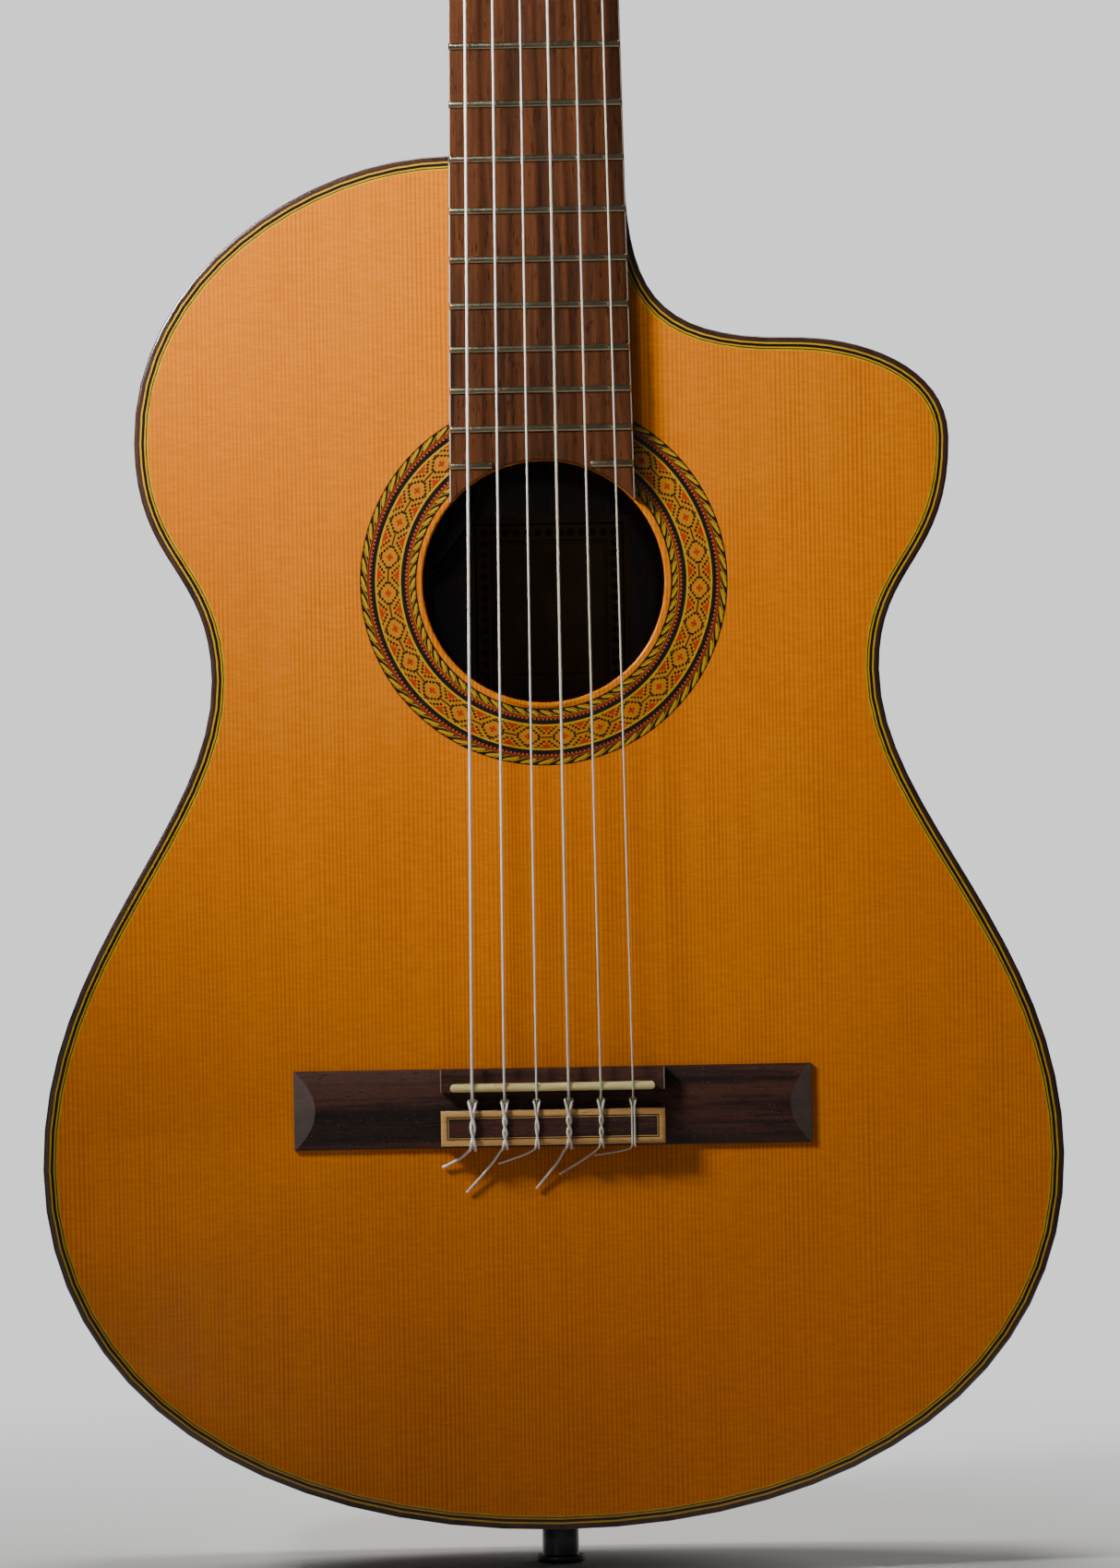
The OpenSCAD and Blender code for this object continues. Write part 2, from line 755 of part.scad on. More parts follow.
// Puts a tuner's pieces at its roller: x out from the head's centre line.
module at_tuner(i) {
    head_frame() translate([0, roller_y, roller_z(tuner_row(i))])
        if (tuner_side(i) > 0) children();
        else mirror([1, 0, 0]) children();
}
module screw_places(s) {
    for (z = [roller_z(0) - 12, roller_z(1) - 12, roller_z(2) - 12, roller_z(2) + 23])
        translate([s * head_half_w, roller_y, z]) rotate([0, -s * 90, 0]) children();
}
module plate() {
    difference() {
        union() {
            translate([head_half_w, roller_y - plate_w / 2, plate_z0]) cube([plate_t, plate_w, plate_z1 - plate_z0]);
            for (k = [0 : 2]) for (y = [-lug_y - lug_t, lug_y])
                translate([head_half_w, roller_y + y, roller_z(k) + worm_off - 3.2])
                    cube([gear_x - head_half_w + 3, lug_t, 6.4]);
        }
        for (k = [0 : 2]) translate([head_half_w - 1, roller_y, roller_z(k)]) rotate([0, 90, 0])
            cylinder(r = axle_r + fit, h = plate_t + 2);
        for (k = [0 : 2]) translate([gear_x, roller_y - 20, roller_z(k) + worm_off]) rotate([-90, 0, 0])
            cylinder(r = shaft_r + fit, h = 40);
        screw_places(1) translate([0, 0, -plate_t - 1]) cylinder(r = screw_r + 0.1, h = plate_t + 2);
    }
}
module tuner_plates() {
    color("gold") head_frame() {
        plate();
        mirror([1, 0, 0]) plate();
    }
}
module tuner_screws() {
    color("gold") head_frame() for (s = [-1, 1]) screw_places(s) {
        translate([0, 0, -plate_t - screw_head_h]) difference() {
            cylinder(r = screw_head_r, h = screw_head_h);
            translate([-5, -0.3, -1]) cube([10, 0.6, 1.5]);
        }
        translate([0, 0, -plate_t]) cylinder(r = screw_r - 0.02, h = screw_l + plate_t);
    }
}

module roller(i) {
    color("ivory") at_tuner(i) difference() {
        union() {
            translate([slot_in_x + gap, 0, 0]) rotate([0, 90, 0])
                cylinder(r = roller_r, h = head_half_w - slot_in_x - 2 * gap);
            translate([slot_in_x - 3.5, 0, 0]) rotate([0, 90, 0]) cylinder(r = axle_r, h = 10);
            translate([head_half_w - 2, 0, 0]) rotate([0, 90, 0]) cylinder(r = axle_r, h = gear_x + gear_w / 2
                - head_half_w + 2);
        }
        translate([slot_in_x + slot_w - 2.2, 0, 0]) rotate([90, 0, 0]) cylinder(r = 0.9, h = 20, center = true);
    }
}

// One gear tooth's half-angle widths, and its flat-sided shape.
module gear(i) {
    half_mid = tooth_pitch * 0.19;
    half_out = tooth_pitch * 0.10;
    half_in = tooth_pitch * 0.30;
    color("darkgoldenrod") at_tuner(i) translate([gear_x - gear_w / 2, 0, 0]) rotate([0, 90, 0])
        linear_extrude(gear_w) difference() {
            union() {
                circle(gear_r - tooth_in);
                for (k = [0 : gear_teeth - 1]) rotate(180 + k * 360 / gear_teeth) polygon([
                    [gear_r - tooth_in - 1, -half_in], [gear_r - tooth_in, -half_in], [gear_r, -half_mid],
                    [gear_r + tooth_out, -half_out], [gear_r + tooth_out, half_out], [gear_r, half_mid],
                    [gear_r - tooth_in, half_in], [gear_r - tooth_in - 1, half_in]]);
            }
            circle(axle_r + 0.02);
        }
}

// The worm's thread: a slice across it, as a radius for each angle, twisted along its length.
thread_half_mid = 0.19;
thread_half_out = 0.11;
thread_half_in = 0.29;
function thread_r(a) = let(u = abs(a) / 360)
    u < thread_half_out ? crest_r : u > thread_half_in ? root_r
    : crest_r - (crest_r - root_r) * (u - thread_half_out) / (thread_half_in - thread_half_out);
thread_angles = [-165 : 22.5 : 172.5];
module thread() {
    turns = 2 * worm_half / tooth_pitch;
    rotate([-90, 0, 0]) translate([0, 0, -worm_half]) rotate(thread_start)
        linear_extrude(2 * worm_half, twist = -360 * turns, slices = ceil(16 * turns), segments = 1)
            polygon([for (a = thread_angles) thread_r(a) * [cos(a), sin(a)]]);
}
thread_start = 270 - 360 * worm_half / tooth_pitch;
button_gap = 3;
button_y = head_t - roller_y + button_gap;
module worm(i) {
    color("silver") at_tuner(i) translate([gear_x, 0, worm_off]) {
        thread();
        rotate([-90, 0, 0]) translate([0, 0, worm_half - eps])
            cylinder(r = shaft_r, h = button_y + 6 - worm_half + eps);
        rotate([-90, 0, 0]) translate([0, 0, -lug_y - lug_t - 0.6]) cylinder(r = shaft_r, h = lug_t + 1.2);
    }
}
module button(i) {
    color("whitesmoke") at_tuner(i) translate([gear_x, button_y, worm_off]) difference() {
        union() {
            rotate([-90, 0, 0]) cylinder(r = 3.2, h = 5);
            intersection() {
                hull() for (s = [-1, 1]) for (y = [0, button_l - 9])
                    translate([s * (button_w / 2 - 4.5), 4.5 + y, 0]) sphere(r = 4.5, $fn = 24);
                translate([-button_w, 0.5, -button_t / 2]) cube([2 * button_w, button_l, button_t]);
            }
        }
        rotate([-90, 0, 0]) translate([0, 0, -1]) cylinder(r = shaft_r + 0.02, h = 7.05);
    }
}

// ---- Strings ----

function string_x(i, spread) = -spread / 2 + spread * i / 5;

// Directions across a route, carried along it without twisting.
function unit(v) = v / norm(v);
function across(pts) = let(n = len(pts)) [for (i = 0, d = unit(pts[1] - pts[0]),
        u = unit(cross(d, abs(d[0]) < 0.9 ? [1, 0, 0] : [0, 1, 0]));
    i < n;
    i = i + 1,
        d = i < n ? unit(unit(pts[min(i + 1, n - 1)] - pts[min(i, n - 2)]) + unit(pts[min(i, n - 1)] - pts[i - 1])) : d,
        u = i < n ? unit(u - (u * d) * d) : u) [u, cross(d, u)]];
module tube(pts, r, sides = 8) {
    frames = across(pts);
    n = len(pts);
    points = [for (i = [0 : n - 1], k = [0 : sides - 1])
        pts[i] + r * (cos(360 * k / sides) * frames[i][0] + sin(360 * k / sides) * frames[i][1])];
    polyhedron(points, concat(
        [[for (k = [0 : sides - 1]) k]],
        [for (i = [0 : n - 2], k = [0 : sides - 1]) let(j = (k + 1) % sides)
            [i * sides + j, i * sides + k, (i + 1) * sides + k, (i + 1) * sides + j]],
        [[for (k = [sides - 1 : -1 : 0]) (n - 1) * sides + k]]));
}

// A point of the head's frame in the guitar's frame.
function from_head(p) = [p[0], front_y + p[1] * cos(head_angle) + p[2] * sin(head_angle),
    neck_end - p[1] * sin(head_angle) + p[2] * cos(head_angle)];
// The middle of the nut, where the strings bend, in the head's frame.
nut_break_y = (string_nut_y - front_y) * cos(head_angle) + nut_l / 2 * sin(head_angle);
nut_break_z = (string_nut_y - front_y) * sin(head_angle) - nut_l / 2 * cos(head_angle);
// Where each string starts on its roller, before its turns run inwards.
coil_x = [20.5, 15.5, 14.5, 14.5, 15.5, 20.5];
turn_steps = 12;
function coil(i) = let(
        s = tuner_side(i),
        r = (roller_r + string_gap + string_d[i] / 2) / cos(180 / turn_steps),
        zc = roller_z(tuner_row(i)),
        way = atan2(roller_y - nut_break_y, zc - nut_break_z),
        a0 = way - asin(r / norm([roller_y - nut_break_y, zc - nut_break_z])),
        pitch = string_d[i] + string_gap)
    [for (k = [0 : round(string_turns * turn_steps)]) let(a = a0 + k * 360 / turn_steps)
        from_head([s * (coil_x[i] - pitch * k / turn_steps), roller_y - r * cos(a), zc + r * sin(a)])];

// The knot at the bridge: through the hole, back over the tie block, round the string and out behind.
// Each point is a distance along x, a height above the soundboard and a place along the guitar.
tail_x_off = [-11, -14, -14, -12, -15, -14];
tail_z_off = [-6, -15, -5, -14, -9, -2.5];
function knot(i) = let(
        x = string_x(i, saddle_spread),
        d = string_d[i],
        side = 0.62 * d + 0.15,
        corner = (d / 2 + string_gap) / cos(22.5),
        stand = tie_front + 3.2,
        stand_h = tie_hole_h + (saddle_string_h - tie_hole_h) * 3.2 / trough_w)
    [for (p = [
        [0, saddle_string_h, saddle_z - 0.9], [0, saddle_string_h - 0.4, saddle_back - 0.35],
        [0, tie_hole_h + 0.4, tie_front + 0.6], [0, tie_hole_h, tie_front - 0.8],
        [0, tie_hole_h, tie_back + 0.8], [side * 0.3, tie_hole_h + 0.2, tie_back - 0.3 - d * 0.6],
        [side * 0.8, tie_hole_h + 1.3, tie_back - 0.7 - d * 0.8], [side, tie_h, tie_back - corner],
        [side, tie_h + 0.71 * corner, tie_back - 0.71 * corner], [side, tie_h + corner, tie_back],
        [side, tie_h + corner, tie_front], [side * 1.1, tie_h + 0.71 * corner, tie_front + 0.71 * corner],
        [side * 1.5, stand_h + 0.6, stand - 0.6], [side * 1.5, stand_h - d * 0.7, stand],
        [side * 0.7, stand_h - d * 1.15, stand + 0.3], [-side * 0.7, stand_h - d * 1.15, stand + 0.3],
        [-side * 1.5, stand_h - d * 0.6, stand], [-side * 1.5, stand_h + 0.7, stand - 0.6],
        [-side * 1.1, tie_h + 0.71 * corner, tie_front + 0.71 * corner], [-side, tie_h + corner, tie_front],
        [-side, tie_h + corner, tie_back], [-side * 1.1, tie_h + 0.71 * corner, tie_back - 0.71 * corner],
        [-side * 1.6, tie_h - 1.2, tie_back - 0.9 - d * 0.5], [-side * 2.4, 4.6, tie_back - 1.6 - d * 0.5],
        [tail_x_off[i] * 0.4, 2.8, tie_back - 2.2 + tail_z_off[i] * 0.35],
        [tail_x_off[i], 1.4, tie_back - 1.8 + tail_z_off[i]]])
        [x + p[0], front_y - p[1], p[2]]];
function reversed(v) = [for (i = [len(v) - 1 : -1 : 0]) v[i]];
function string_route(i) = concat(
    reversed(knot(i)),
    [[string_x(i, nut_spread), string_nut_y, nut_z + nut_l / 2]],
    coil(i));
module guitar_string(i) {
    color(i < 3 ? "silver" : "white") tube(string_route(i), string_d[i] / 2);
}

// ---- Control panel in the bass shoulder, jack and leads ----

panel_curve = curves[0];
panel_s0 = 4;
panel_s1 = 12;
window_s0 = 4.5;
window_s1 = 11.5;
window_half = panel_w / 2 - 3;
volume_t = 5.6 / steps;
tone_t = 7.1 / steps;
door_s0 = 8.3;
door_s1 = 11.1;
door_half = 14;
box_depth = 26;
hinge_t = door_s0 / steps;

// Puts children at t along the shoulder: z out of the guitar, y along its depth.
module on_shoulder(t) {
    p = bez(panel_curve, t);
    n = outward(bez_way(panel_curve, t));
    translate([p[0], 0, p[1]]) rotate([0, atan2(n[0], n[1]), 0]) children();
}
module preamp_panel() {
    color("#202022") difference() {
        union() {
            plan(-panel_w / 2, panel_w / 2) polygon(strip(panel_curve, panel_s0, panel_s1, -panel_h, 0));
            plan(-window_half + gap, window_half - gap)
                polygon(strip(panel_curve, window_s0 + 0.05, window_s1 - 0.05, -panel_h / 2, side_t));
        }
        for (t = [volume_t, tone_t]) on_shoulder(t) cylinder(r = knob_r + gap, h = 30, center = true);
        plan(-door_half - gap, door_half + gap)
            polygon(strip(panel_curve, door_s0 - 0.1, door_s1 + 0.05, -panel_h - 1, side_t + 1));
        on_shoulder(hinge_t) translate([0, 0, panel_h / 2]) rotate([90, 0, 0])
            cylinder(r = pin_r + fit, h = 2 * door_half + 3, center = true);
    }
}
pin_r = 0.4;
module battery_door() {
    color("#202022") {
        plan(-door_half, door_half) polygon(strip(panel_curve, door_s0, door_s1, -panel_h, 0.6));
        on_shoulder(hinge_t) translate([0, 0, panel_h / 2]) rotate([90, 0, 0])
            cylinder(r = pin_r, h = 2 * door_half + 2.4, center = true);
    }
}
module preamp_box() {
    color("#303034") difference() {
        plan(-window_half + 1, window_half - 1)
            polygon(strip(panel_curve, window_s0 + 0.2, window_s1 - 0.2, side_t + gap, box_depth));
        plan(-door_half, door_half)
            polygon(strip(panel_curve, door_s0 + 0.2, door_s1 - 0.2, side_t - 1, box_depth - 2));
        for (t = [volume_t, tone_t]) on_shoulder(t) translate([0, 0, -14]) cylinder(r = 1.5 + fit, h = 30);
    }
}
module knob(t) {
    color("#101012") on_shoulder(t) {
        difference() {
            translate([0, 0, -side_t + 0.1]) cylinder(r = knob_r, h = panel_h + side_t - 0.1 + 0.6);
            translate([-0.4, -knob_r - 1, panel_h]) cube([0.8, knob_r + 1, 2]);
        }
        translate([0, 0, -10]) cylinder(r = 1.5, h = 10);
    }
}
module volume_knob() {
    knob(volume_t);
}
module tone_knob() {
    knob(tone_t);
}

jack_nut_h = 3;
module output_jack() {
    color("silver") {
        difference() {
            union() {
                translate([0, 0, -2.5 - strap_l - 2.5]) cylinder(r = 8.5, h = 2.5);
                translate([0, 0, -2.5 - strap_l]) cylinder(r = jack_r + 0.6, h = strap_l);
                translate([0, 0, -2.5]) cylinder(r = 9.5, h = 2.5);
                translate([0, 0, -eps]) cylinder(r = jack_r, h = side_t + tail_block_t + 22);
            }
            translate([0, 0, -20]) cylinder(r = jack_bore_r, h = side_t + tail_block_t + 38);
        }
        translate([0, 0, side_t + tail_block_t]) difference() {
            cylinder(r = 9, h = jack_nut_h, $fn = 6);
            translate([0, 0, -1]) cylinder(r = jack_r + 0.02, h = jack_nut_h + 2);
        }
    }
}

lead_x = -33;
// The pickup's lead: down through the soundboard, up the bass side, and twice round in a loose loop
// beside the sound hole on its way to the box.
pickup_lead = [[-33, -50.9, 157], [-33, -44, 157], [-34, -34, 160], [-40, -26, 178], [-50, -22, 215],
    [-60, -18, 255], [-66, -14, 295], [-62, -10, 322], [-50, -8, 335], [-37, -8, 342], [-27, -8, 355],
    [-22, -8, 373], [-26, -8, 392], [-40, -7, 404], [-57, -6, 404], [-68, -5, 392], [-69, -4, 374],
    [-60, -3, 361], [-46, -2, 357], [-35, -2, 364], [-32, -1, 378], [-38, 0, 393], [-52, 1, 404],
    [-68, 2, 418], [-82, 3, 430], [-90, 4, 437]];
// The jack's lead: from the jack up the bass side to the box.
jack_lead = [[0, 0, 39], [0, 0, 50], [-14, 3, 62], [-40, 8, 74], [-74, 12, 94], [-104, 15, 128], [-114, 17, 170],
    [-106, 17, 215], [-92, 16, 260], [-86, 14, 300], [-88, 12, 340], [-92, 11, 375], [-98, 10, 405], [-103, 10, 424]];
module wiring() {
    color("#101010") {
        tube(pickup_lead, lead_d / 2, 10);
        tube(jack_lead, lead_d / 2, 10);
    }
}

soundboard();
rosette();
braces();
linings();
back_plate();
side_bass();
side_treble();
bindings();
top_purfling();
tail_block();
label();
bridge();
saddle();
tie_block_trim();
neck();
heel_cap();
head_veneer();
fingerboard();
frets();
nut();
tuner_plates();
tuner_screws();
preamp_panel();
preamp_box();
volume_knob();
tone_knob();
battery_door();
output_jack();
pickup();
wiring();
guitar_string(0);  // string_1
guitar_string(1);  // string_2
guitar_string(2);  // string_3
guitar_string(3);  // string_4
guitar_string(4);  // string_5
guitar_string(5);  // string_6
button(0);  // button_1
button(1);  // button_2
button(2);  // button_3
button(3);  // button_4
button(4);  // button_5
button(5);  // button_6
worm(0);  // worm_1
worm(1);  // worm_2
worm(2);  // worm_3
worm(3);  // worm_4
worm(4);  // worm_5
worm(5);  // worm_6
gear(0);  // gear_1
gear(1);  // gear_2
gear(2);  // gear_3
gear(3);  // gear_4
gear(4);  // gear_5
gear(5);  // gear_6
roller(0);  // roller_1
roller(1);  // roller_2
roller(2);  // roller_3
roller(3);  // roller_4
roller(4);  // roller_5
roller(5);  // roller_6
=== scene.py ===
"""A cutaway electro-classical guitar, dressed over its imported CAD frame.

Sizes are in millimetres as a luthier would give them, and MM turns them into metres.
The guitar stands on its tail: x runs to the treble side, y to the back, z up the neck.
"""

import json
import math

import bmesh
import bpy
from mathutils import Matrix, Vector

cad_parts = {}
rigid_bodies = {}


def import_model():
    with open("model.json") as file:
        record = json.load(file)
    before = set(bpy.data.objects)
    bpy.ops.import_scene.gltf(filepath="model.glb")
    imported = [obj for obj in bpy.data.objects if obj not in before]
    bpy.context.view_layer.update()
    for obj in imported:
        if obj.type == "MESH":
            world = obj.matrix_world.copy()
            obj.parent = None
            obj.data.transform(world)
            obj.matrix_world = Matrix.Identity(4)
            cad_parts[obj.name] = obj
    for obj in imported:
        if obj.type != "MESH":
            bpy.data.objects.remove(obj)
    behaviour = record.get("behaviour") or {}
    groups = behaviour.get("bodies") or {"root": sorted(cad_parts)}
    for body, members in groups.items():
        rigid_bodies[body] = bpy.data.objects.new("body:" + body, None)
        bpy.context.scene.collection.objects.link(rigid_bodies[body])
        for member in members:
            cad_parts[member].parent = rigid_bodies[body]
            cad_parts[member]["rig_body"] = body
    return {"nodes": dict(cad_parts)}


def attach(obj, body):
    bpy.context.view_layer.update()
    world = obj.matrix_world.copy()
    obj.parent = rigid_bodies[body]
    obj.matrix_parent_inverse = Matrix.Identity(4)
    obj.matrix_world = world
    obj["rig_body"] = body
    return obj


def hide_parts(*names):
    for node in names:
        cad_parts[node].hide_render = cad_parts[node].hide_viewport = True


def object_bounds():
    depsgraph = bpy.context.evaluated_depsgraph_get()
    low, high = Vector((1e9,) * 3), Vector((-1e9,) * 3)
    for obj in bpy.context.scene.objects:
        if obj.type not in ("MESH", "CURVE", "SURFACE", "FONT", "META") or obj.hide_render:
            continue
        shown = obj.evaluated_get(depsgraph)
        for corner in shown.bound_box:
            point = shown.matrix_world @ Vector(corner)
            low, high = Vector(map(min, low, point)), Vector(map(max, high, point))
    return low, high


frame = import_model()
cad_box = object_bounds()
MM = 0.001


def point(x, y, z):
    """A place given in millimetres."""
    return Vector((x, y, z)) * MM


# ---- Sizes of the guitar ----

FRONT = -49.0
TOP_THICKNESS = 2.5
BINDING = 2.0
HOLE_Z = 335.0
HOLE_R = 42.7
NUT_Z = 809.0
NECK_END = 814.5
SCALE = 650.0
BOARD_TOP = -55.0
BOARD_START = 355.0
BOARD_ARC = HOLE_R + 0.4
NUT_HALF = 26.25
BOARD_GROWTH = 6.25
FRET_RISE = 1.0
FRET_HALF = 1.3
HEAD_ANGLE = math.radians(15)
SADDLE_Z = 157.0
SADDLE_BACK = 155.55
TIE_FRONT = 148.95
TIE_BACK = 136.55
BRIDGE_LOW = 135.55
BRIDGE_HIGH = 163.45
BLOCK_HALF = 39.5
BRIDGE_HALF = 91.5
TIE_HEIGHT = 9.0
WING_HEIGHT = 4.0
WING_ARCH = 40.2
WING_TIP = 1.5
SLICE_RUN = 7.6
SLICE_RISE = 2.5
SADDLE_TOP = 12.0
TIE_HOLE = 5.0
FRAME_WIDTH = 2.2
STRING_SIZES = [1.09, 0.89, 0.74, 1.02, 0.82, 0.71]
STRING_GAP = 0.12
SADDLE_SPREAD = 56.5
NUT_SPREAD = 42.5
NUT_REST = (-56.8, 811.75)
ROLLER_R = 5.0
ROLLER_DEPTH = 7.5
FIRST_ROLLER = 48.0
ROLLER_SPACING = 35.0
LABEL_MIDDLE = (2.0, 320.0)
LABEL_HALF = (30.0, 42.0)
BACKDROP = 1.3
BACKDROP_TINT = (0.88, 0.89, 0.9)

# The edge of the body: each point with the handle before it and the handle after it.
BODY_EDGE = [
    ((-30.93, 486), (-10, 486), (-82.38, 486)),
    ((-144, 386), (-144, 446), (-144, 342.32)),
    ((-118, 302), (-118, 341.9), (-118, 250.74)),
    ((-180.5, 130), (-180.5, 207.06), (-180.5, 51.35)),
    ((0, 0), (-107.94, 0), (107.94, 0)),
    ((180.5, 130), (180.5, 51.35), (180.5, 207.06)),
    ((118, 302), (118, 250.74), (118, 339.72)),
    ((144, 384), (144, 339.72), (144, 409.2)),
    ((88, 420), (113.2, 420), (39.21, 420)),
    ((30.93, 486), (30.93, 438.02), (10, 486)),
]


def board_half(z):
    """Half the fingerboard's width at height z."""
    return NUT_HALF + BOARD_GROWTH * (NUT_Z - z) / (NUT_Z - HOLE_Z - BOARD_ARC)


def fret_height(number):
    return NUT_Z - SCALE * (1 - 2 ** (-number / 12))


# ---- Bench tools ----


def only(piece):
    """Selects one piece and nothing else."""
    bpy.ops.object.select_all(action="DESELECT")
    piece.select_set(True)
    bpy.context.view_layer.objects.active = piece


def edit(piece, kind="FACE"):
    only(piece)
    bpy.ops.object.mode_set(mode="EDIT")
    bpy.ops.mesh.select_mode(type=kind)


def leave():
    bpy.ops.object.mode_set(mode="OBJECT")


def mark(piece, kind, test):
    """In edit mode, selects the faces, edges or verts that pass a test."""
    shape = bmesh.from_edit_mesh(piece.data)
    shape.normal_update()
    for part in list(shape.faces) + list(shape.edges) + list(shape.verts):
        part.select = False
    chosen = [part for part in getattr(shape, kind) if test(part)]
    for part in chosen:
        part.select_set(True)
    bmesh.update_edit_mesh(piece.data)


def middle(part):
    """The middle of a face or an edge, in millimetres."""
    return sum((v.co for v in part.verts), Vector()) / len(part.verts) / MM


def settle(piece):
    """Puts a piece's place, turn and size into its mesh."""
    only(piece)
    bpy.ops.object.transform_apply(location=True, rotation=True, scale=True)


def modify(piece, kind, **settings):
    """Adds a modifier, sets it and applies it."""
    only(piece)
    modifier = piece.modifiers.new(kind.title(), kind)
    for name, value in settings.items():
        setattr(modifier, name, value)
    bpy.ops.object.modifier_apply(modifier=modifier.name)


def soften(piece, angle=35):
    only(piece)
    bpy.ops.object.shade_smooth_by_angle(angle=math.radians(angle))


def ease(piece, width, rounds=2, angle=40):
    """Takes the sharpness off every corner steeper than the angle."""
    modify(piece, "BEVEL", width=width * MM, segments=rounds, limit_method="ANGLE",
           angle_limit=math.radians(angle), harden_normals=False)


def cut(piece, place, normal):
    """Slices off what lies past a plane, and closes the wound."""
    edit(piece)
    bpy.ops.mesh.select_all(action="SELECT")
    bpy.ops.mesh.bisect(plane_co=point(*place), plane_no=Vector(normal).normalized(),
                        use_fill=True, clear_outer=True)
    leave()


def carve(piece, tool):
    """Cuts a tool's shape out of a piece and throws the tool away."""
    modify(piece, "BOOLEAN", object=tool, operation="DIFFERENCE", solver="EXACT")
    bpy.data.objects.remove(tool)


def name_it(piece, name):
    piece.name = name
    piece.data.name = name
    return piece


def block(name, low, high):
    """A box between two corners, in millimetres."""
    bpy.ops.object.select_all(action="DESELECT")
    bpy.ops.mesh.primitive_cube_add(size=1, location=(point(*low) + point(*high)) / 2)
    piece = bpy.context.object
    piece.scale = [(b - a) * MM for a, b in zip(low, high)]
    settle(piece)
    return name_it(piece, name)


def rod(name, middle_at, radius, length, axis, vertices):
    """A round bar about its middle, along x or y."""
    bpy.ops.object.select_all(action="DESELECT")
    turn = {"X": (0, math.pi / 2, 0), "Y": (math.pi / 2, 0, 0)}[axis]
    bpy.ops.mesh.primitive_cylinder_add(vertices=vertices, radius=radius * MM, depth=length * MM,
                                        location=point(*middle_at), rotation=turn)
    piece = bpy.context.object
    settle(piece)
    return name_it(piece, name)


def join(name, pieces):
    bpy.ops.object.select_all(action="DESELECT")
    for piece in pieces:
        piece.select_set(True)
    bpy.context.view_layer.objects.active = pieces[0]
    bpy.ops.object.join()
    return name_it(bpy.context.object, name)


def from_solid(node, name):
    """A working copy of a CAD solid, with its loose triangles merged into faces."""
    piece = bpy.data.objects.new(name, frame["nodes"][node].data.copy())
    bpy.context.scene.collection.objects.link(piece)
    piece.data.materials.clear()
    edit(piece)
    bpy.ops.mesh.select_all(action="SELECT")
    bpy.ops.mesh.remove_doubles(threshold=0.002 * MM)
    bpy.ops.mesh.dissolve_limited(angle_limit=math.radians(0.5))
    leave()
    return name_it(piece, name)


def fit(piece, finish, slot, *nodes):
    """Gives a piece its finish, and lets it stand for its CAD solids on their body."""
    piece.data.materials.append(finish.material)
    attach(piece, frame["nodes"][nodes[0]]["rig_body"])
    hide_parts(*nodes)
    return piece


def dress(finish, *nodes):
    """Gives CAD solids that stay in view a better finish."""
    for node in nodes:
        piece = frame["nodes"][node]
        piece.data.materials.clear()
        piece.data.materials.append(finish.material)


# ---- Finishing tools ----


class Wire:
    """A socket of a finish. Arithmetic on it adds the nodes that work it out."""

    def __init__(self, finish, socket):
        self.finish = finish
        self.socket = socket

    def math(self, operation, *others):
        values = dict(enumerate([self, *others]))
        return self.finish.node("ShaderNodeMath", {"operation": operation}, values)

    def __add__(self, other):
        return self.math("ADD", other)

    def __radd__(self, other):
        return self.math("ADD", other)

    def __sub__(self, other):
        return self.math("SUBTRACT", other)

    def __rsub__(self, other):
        return self.finish.node("ShaderNodeMath", {"operation": "SUBTRACT"}, {0: other, 1: self})

    def __mul__(self, other):
        return self.math("MULTIPLY", other)

    def __rmul__(self, other):
        return self.math("MULTIPLY", other)

    def __truediv__(self, other):
        return self.math("DIVIDE", other)

    def __lt__(self, other):
        return self.math("LESS_THAN", other)

    def __gt__(self, other):
        return self.math("GREATER_THAN", other)

    def __abs__(self):
        return self.math("ABSOLUTE")

    def floor(self):
        return self.math("FLOOR")

    def fraction(self):
        return self.math("FRACT")

    def cosine(self):
        return self.math("COSINE")

    def both(self, other):
        return self.math("MULTIPLY", other)

    def either(self, other):
        return self.math("MAXIMUM", other)

    def least(self, other):
        return self.math("MINIMUM", other)

    def between(self, low, high):
        return (self > low).both(self < high)

    def equals(self, value):
        return self.finish.node("ShaderNodeMath", {"operation": "COMPARE"}, {0: self, 1: value, 2: 0.1})

    def rise(self, low, high):
        """Runs from 0 to 1 as the value goes from low to high."""
        return self.finish.node("ShaderNodeMapRange", {"clamp": True},
                                {"Value": self, "From Min": low, "From Max": high})


